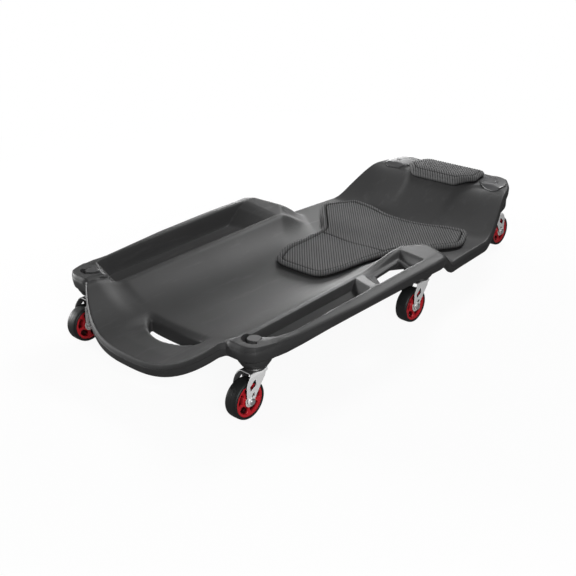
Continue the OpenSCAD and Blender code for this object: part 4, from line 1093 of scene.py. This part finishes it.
class CREEPER_OT_wheels(bpy.types.Operator):
    """Add the six spoked hubs and their tyres"""
    bl_idname = "creeper.add_wheels"
    bl_label = "Wheels"

    def execute(self, context):
        colours = context.scene.creeper_finish
        red = finish("hub_plastic", colours.hubs, 0.4, (800.0, 0.00001), 0.06, specular=0.35, takes_painted_shading=True)
        rubber = finish("tyre_rubber", colours.tyres, 0.5, (1500.0, 0.00003), 0.12, streaks=0.3)
        hub, tyre = on_axle(build_hub()), on_axle(build_tyre())
        # Painted shade: the hub's colour falls to near black down in the pockets between the spokes.
        pocket_painted_shade = mix(0.05, 1, ramp(7.5, 9.6, np.abs(hub[0][:, 1])))
        for k, name in enumerate(CASTOR_NAMES):
            body = "wheel_" + name
            add_piece("hub_spoked_" + name, on_castor(hub, k), red, body, ["hub_" + name],
                      sharp=60, painted_shading=pocket_painted_shade)
            add_piece("tyre_round_" + name, on_castor(tyre, k), rubber, body, ["tyre_" + name],
                      sharp=40)
        return {"FINISHED"}


# Studio lights: name, place and target in metres, size, and share of the key power.
LIGHTS = (("back", (1.75, 1.55, 0.3), (0, 0, 0.1), 1.3, 0.35),
          ("head", (1.9, 0.3, 1.95), (0, 0, 0.1), 1.0, 0.42),
          ("left", (0.3, 2.3, 1.3), (0, 0, 0.1), 1.0, 0.05),
          ("side", (-1.1, 2.2, 0.5), (-0.3, 0, 0.1), 0.8, 0.5),
          ("front", (-1.6, -1.9, 1.3), (-0.1, 0, 0.05), 1.0, 0.38))
FLOOR_SIZE = 14.0
FLOOR_Z = -0.0006
LOOK_AT = (-0.02794, 0.08311, 0)


def area_light(name, place, target, size, power):
    """Round softbox at a place, turned to a target, in metres and watts."""
    data = bpy.data.lights.new(name, "AREA")
    data.shape = "DISK"
    data.size = size
    data.energy = power
    light = bpy.data.objects.new(name, data)
    light.location = place
    light.rotation_euler = (Vector(target) - Vector(place)).to_track_quat("-Z", "Y").to_euler()
    bpy.context.scene.collection.objects.link(light)


def either(tree, share, first, second):
    """Mix Shader node's output."""
    return put(tree, "ShaderNodeMixShader", enumerate((share, first, second))).outputs[0]


def floor_finish():
    """Pale floor: to the camera near white paint that fades to plain white away from the object, and to every
    other ray a dim grey, so that it doesn't light the dark sides from below."""
    material = bpy.data.materials.new("studio_floor")
    material.use_nodes = True
    tree = material.node_tree
    coat = tree.nodes["Principled BSDF"]
    for label, value in (("Base Color", (0.9, 0.9, 0.9, 1)), ("Roughness", 0.8), ("Specular IOR Level", 0.1)):
        coat.inputs[label].default_value = value
    place = put(tree, "ShaderNodeTexCoord").outputs["Object"]
    reach = put(tree, "ShaderNodeVectorMath", [(0, place)], operation="LENGTH").outputs["Value"]
    far = spread(tree, reach, 0.75, 1.7, 0.93, 1.0, interpolation_type="SMOOTHSTEP")
    seen = put(tree, "ShaderNodeLightPath").outputs["Is Camera Ray"]
    white, dim = (put(tree, "ShaderNodeEmission", [("Color", (c, c, c, 1))]).outputs[0] for c in (1, 0.15))
    faded = either(tree, calc(tree, "MULTIPLY", seen, far), coat.outputs[0], white)
    tree.links.new(either(tree, seen, dim, faded), tree.nodes["Material Output"].inputs["Surface"])
    return material


def studio_world(fill):
    """Surrounding light: white to the camera, and to every other ray a soft fill, brighter overhead."""
    world = bpy.data.worlds.new("studio")
    world.use_nodes = True
    tree = world.node_tree
    tree.nodes.clear()
    seen = put(tree, "ShaderNodeLightPath").outputs["Is Camera Ray"]
    place = put(tree, "ShaderNodeTexCoord").outputs["Generated"]
    height = put(tree, "ShaderNodeSeparateXYZ", [(0, place)]).outputs["Z"]
    strength = spread(tree, height, 0.1, 0.95, fill * 0.12, fill)
    white, soft = (put(tree, "ShaderNodeBackground", [("Color", (1, 1, 1, 1)), ("Strength", given)])
                   .outputs[0] for given in (1.0, strength))
    end = put(tree, "ShaderNodeOutputWorld", [("Surface", either(tree, seen, soft, white))])
    end.is_active_output = True
    bpy.context.scene.world = world


class CREEPER_OT_stage(bpy.types.Operator):
    """Add the camera, the pale floor and the soft studio light"""
    bl_idname = "creeper.add_stage"
    bl_label = "Stage"

    def execute(self, context):
        scene, stage = context.scene, context.scene.creeper_stage
        a, e = stage.azimuth, stage.elevation
        back = Vector((np.sin(a) * np.cos(e), -np.cos(a) * np.cos(e), np.sin(e)))
        data = bpy.data.cameras.new("view_camera")
        data.lens = stage.lens
        data.sensor_width = 36
        data.clip_start, data.clip_end = 0.05, 60
        camera = bpy.data.objects.new("view_camera", data)
        camera.location = Vector(LOOK_AT) + back * stage.distance
        camera.rotation_euler = (-back).to_track_quat("-Z", "Y").to_euler()
        scene.collection.objects.link(camera)
        scene.camera = camera

        plane = bpy.data.meshes.new("floor")
        corners = ((-1, -1), (1, -1), (1, 1), (-1, 1))
        plane.from_pydata([(x * FLOOR_SIZE, y * FLOOR_SIZE, FLOOR_Z) for x, y in corners], [], [(0, 1, 2, 3)])
        plane.materials.append(floor_finish())
        floor = bpy.data.objects.new("floor", plane)
        scene.collection.objects.link(floor)

        studio_world(stage.fill)
        for name, place, target, size, share in LIGHTS:
            area_light(name, place, target, size, stage.key * share)
        scene.view_settings.view_transform = "Standard"
        return {"FINISHED"}


class CREEPER_PT_panel(bpy.types.Panel):
    bl_label = "Creeper"
    bl_idname = "CREEPER_PT_panel"
    bl_space_type = "VIEW_3D"
    bl_region_type = "UI"
    bl_category = "Creeper"

    def draw(self, context):
        for group in (context.scene.creeper_shape, context.scene.creeper_finish, context.scene.creeper_stage):
            box = self.layout.box()
            for key in group.__annotations__:
                box.prop(group, key)
        for operator in OPERATORS:
            self.layout.operator(operator.bl_idname)


SETTINGS = {"creeper_shape": CreeperShape, "creeper_finish": CreeperFinish, "creeper_stage": CreeperStage}
OPERATORS = (CREEPER_OT_stage, CREEPER_OT_deck, CREEPER_OT_pads, CREEPER_OT_covers, CREEPER_OT_forks,
             CREEPER_OT_wheels)


def register():
    for cls in (*SETTINGS.values(), *OPERATORS, CREEPER_PT_panel):
        bpy.utils.register_class(cls)
    for name, cls in SETTINGS.items():
        setattr(bpy.types.Scene, name, PointerProperty(type=cls))


def unregister():
    for name in SETTINGS:
        delattr(bpy.types.Scene, name)
    for cls in (CREEPER_PT_panel, *reversed(OPERATORS), *SETTINGS.values()):
        bpy.utils.unregister_class(cls)


def main():
    """Register the add-on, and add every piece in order."""
    register()
    bpy.ops.creeper.add_stage()
    bpy.ops.creeper.add_deck()
    bpy.ops.creeper.add_pads()
    bpy.ops.creeper.add_covers()
    bpy.ops.creeper.add_forks()
    bpy.ops.creeper.add_wheels()


if __name__ == "__main__":
    main()
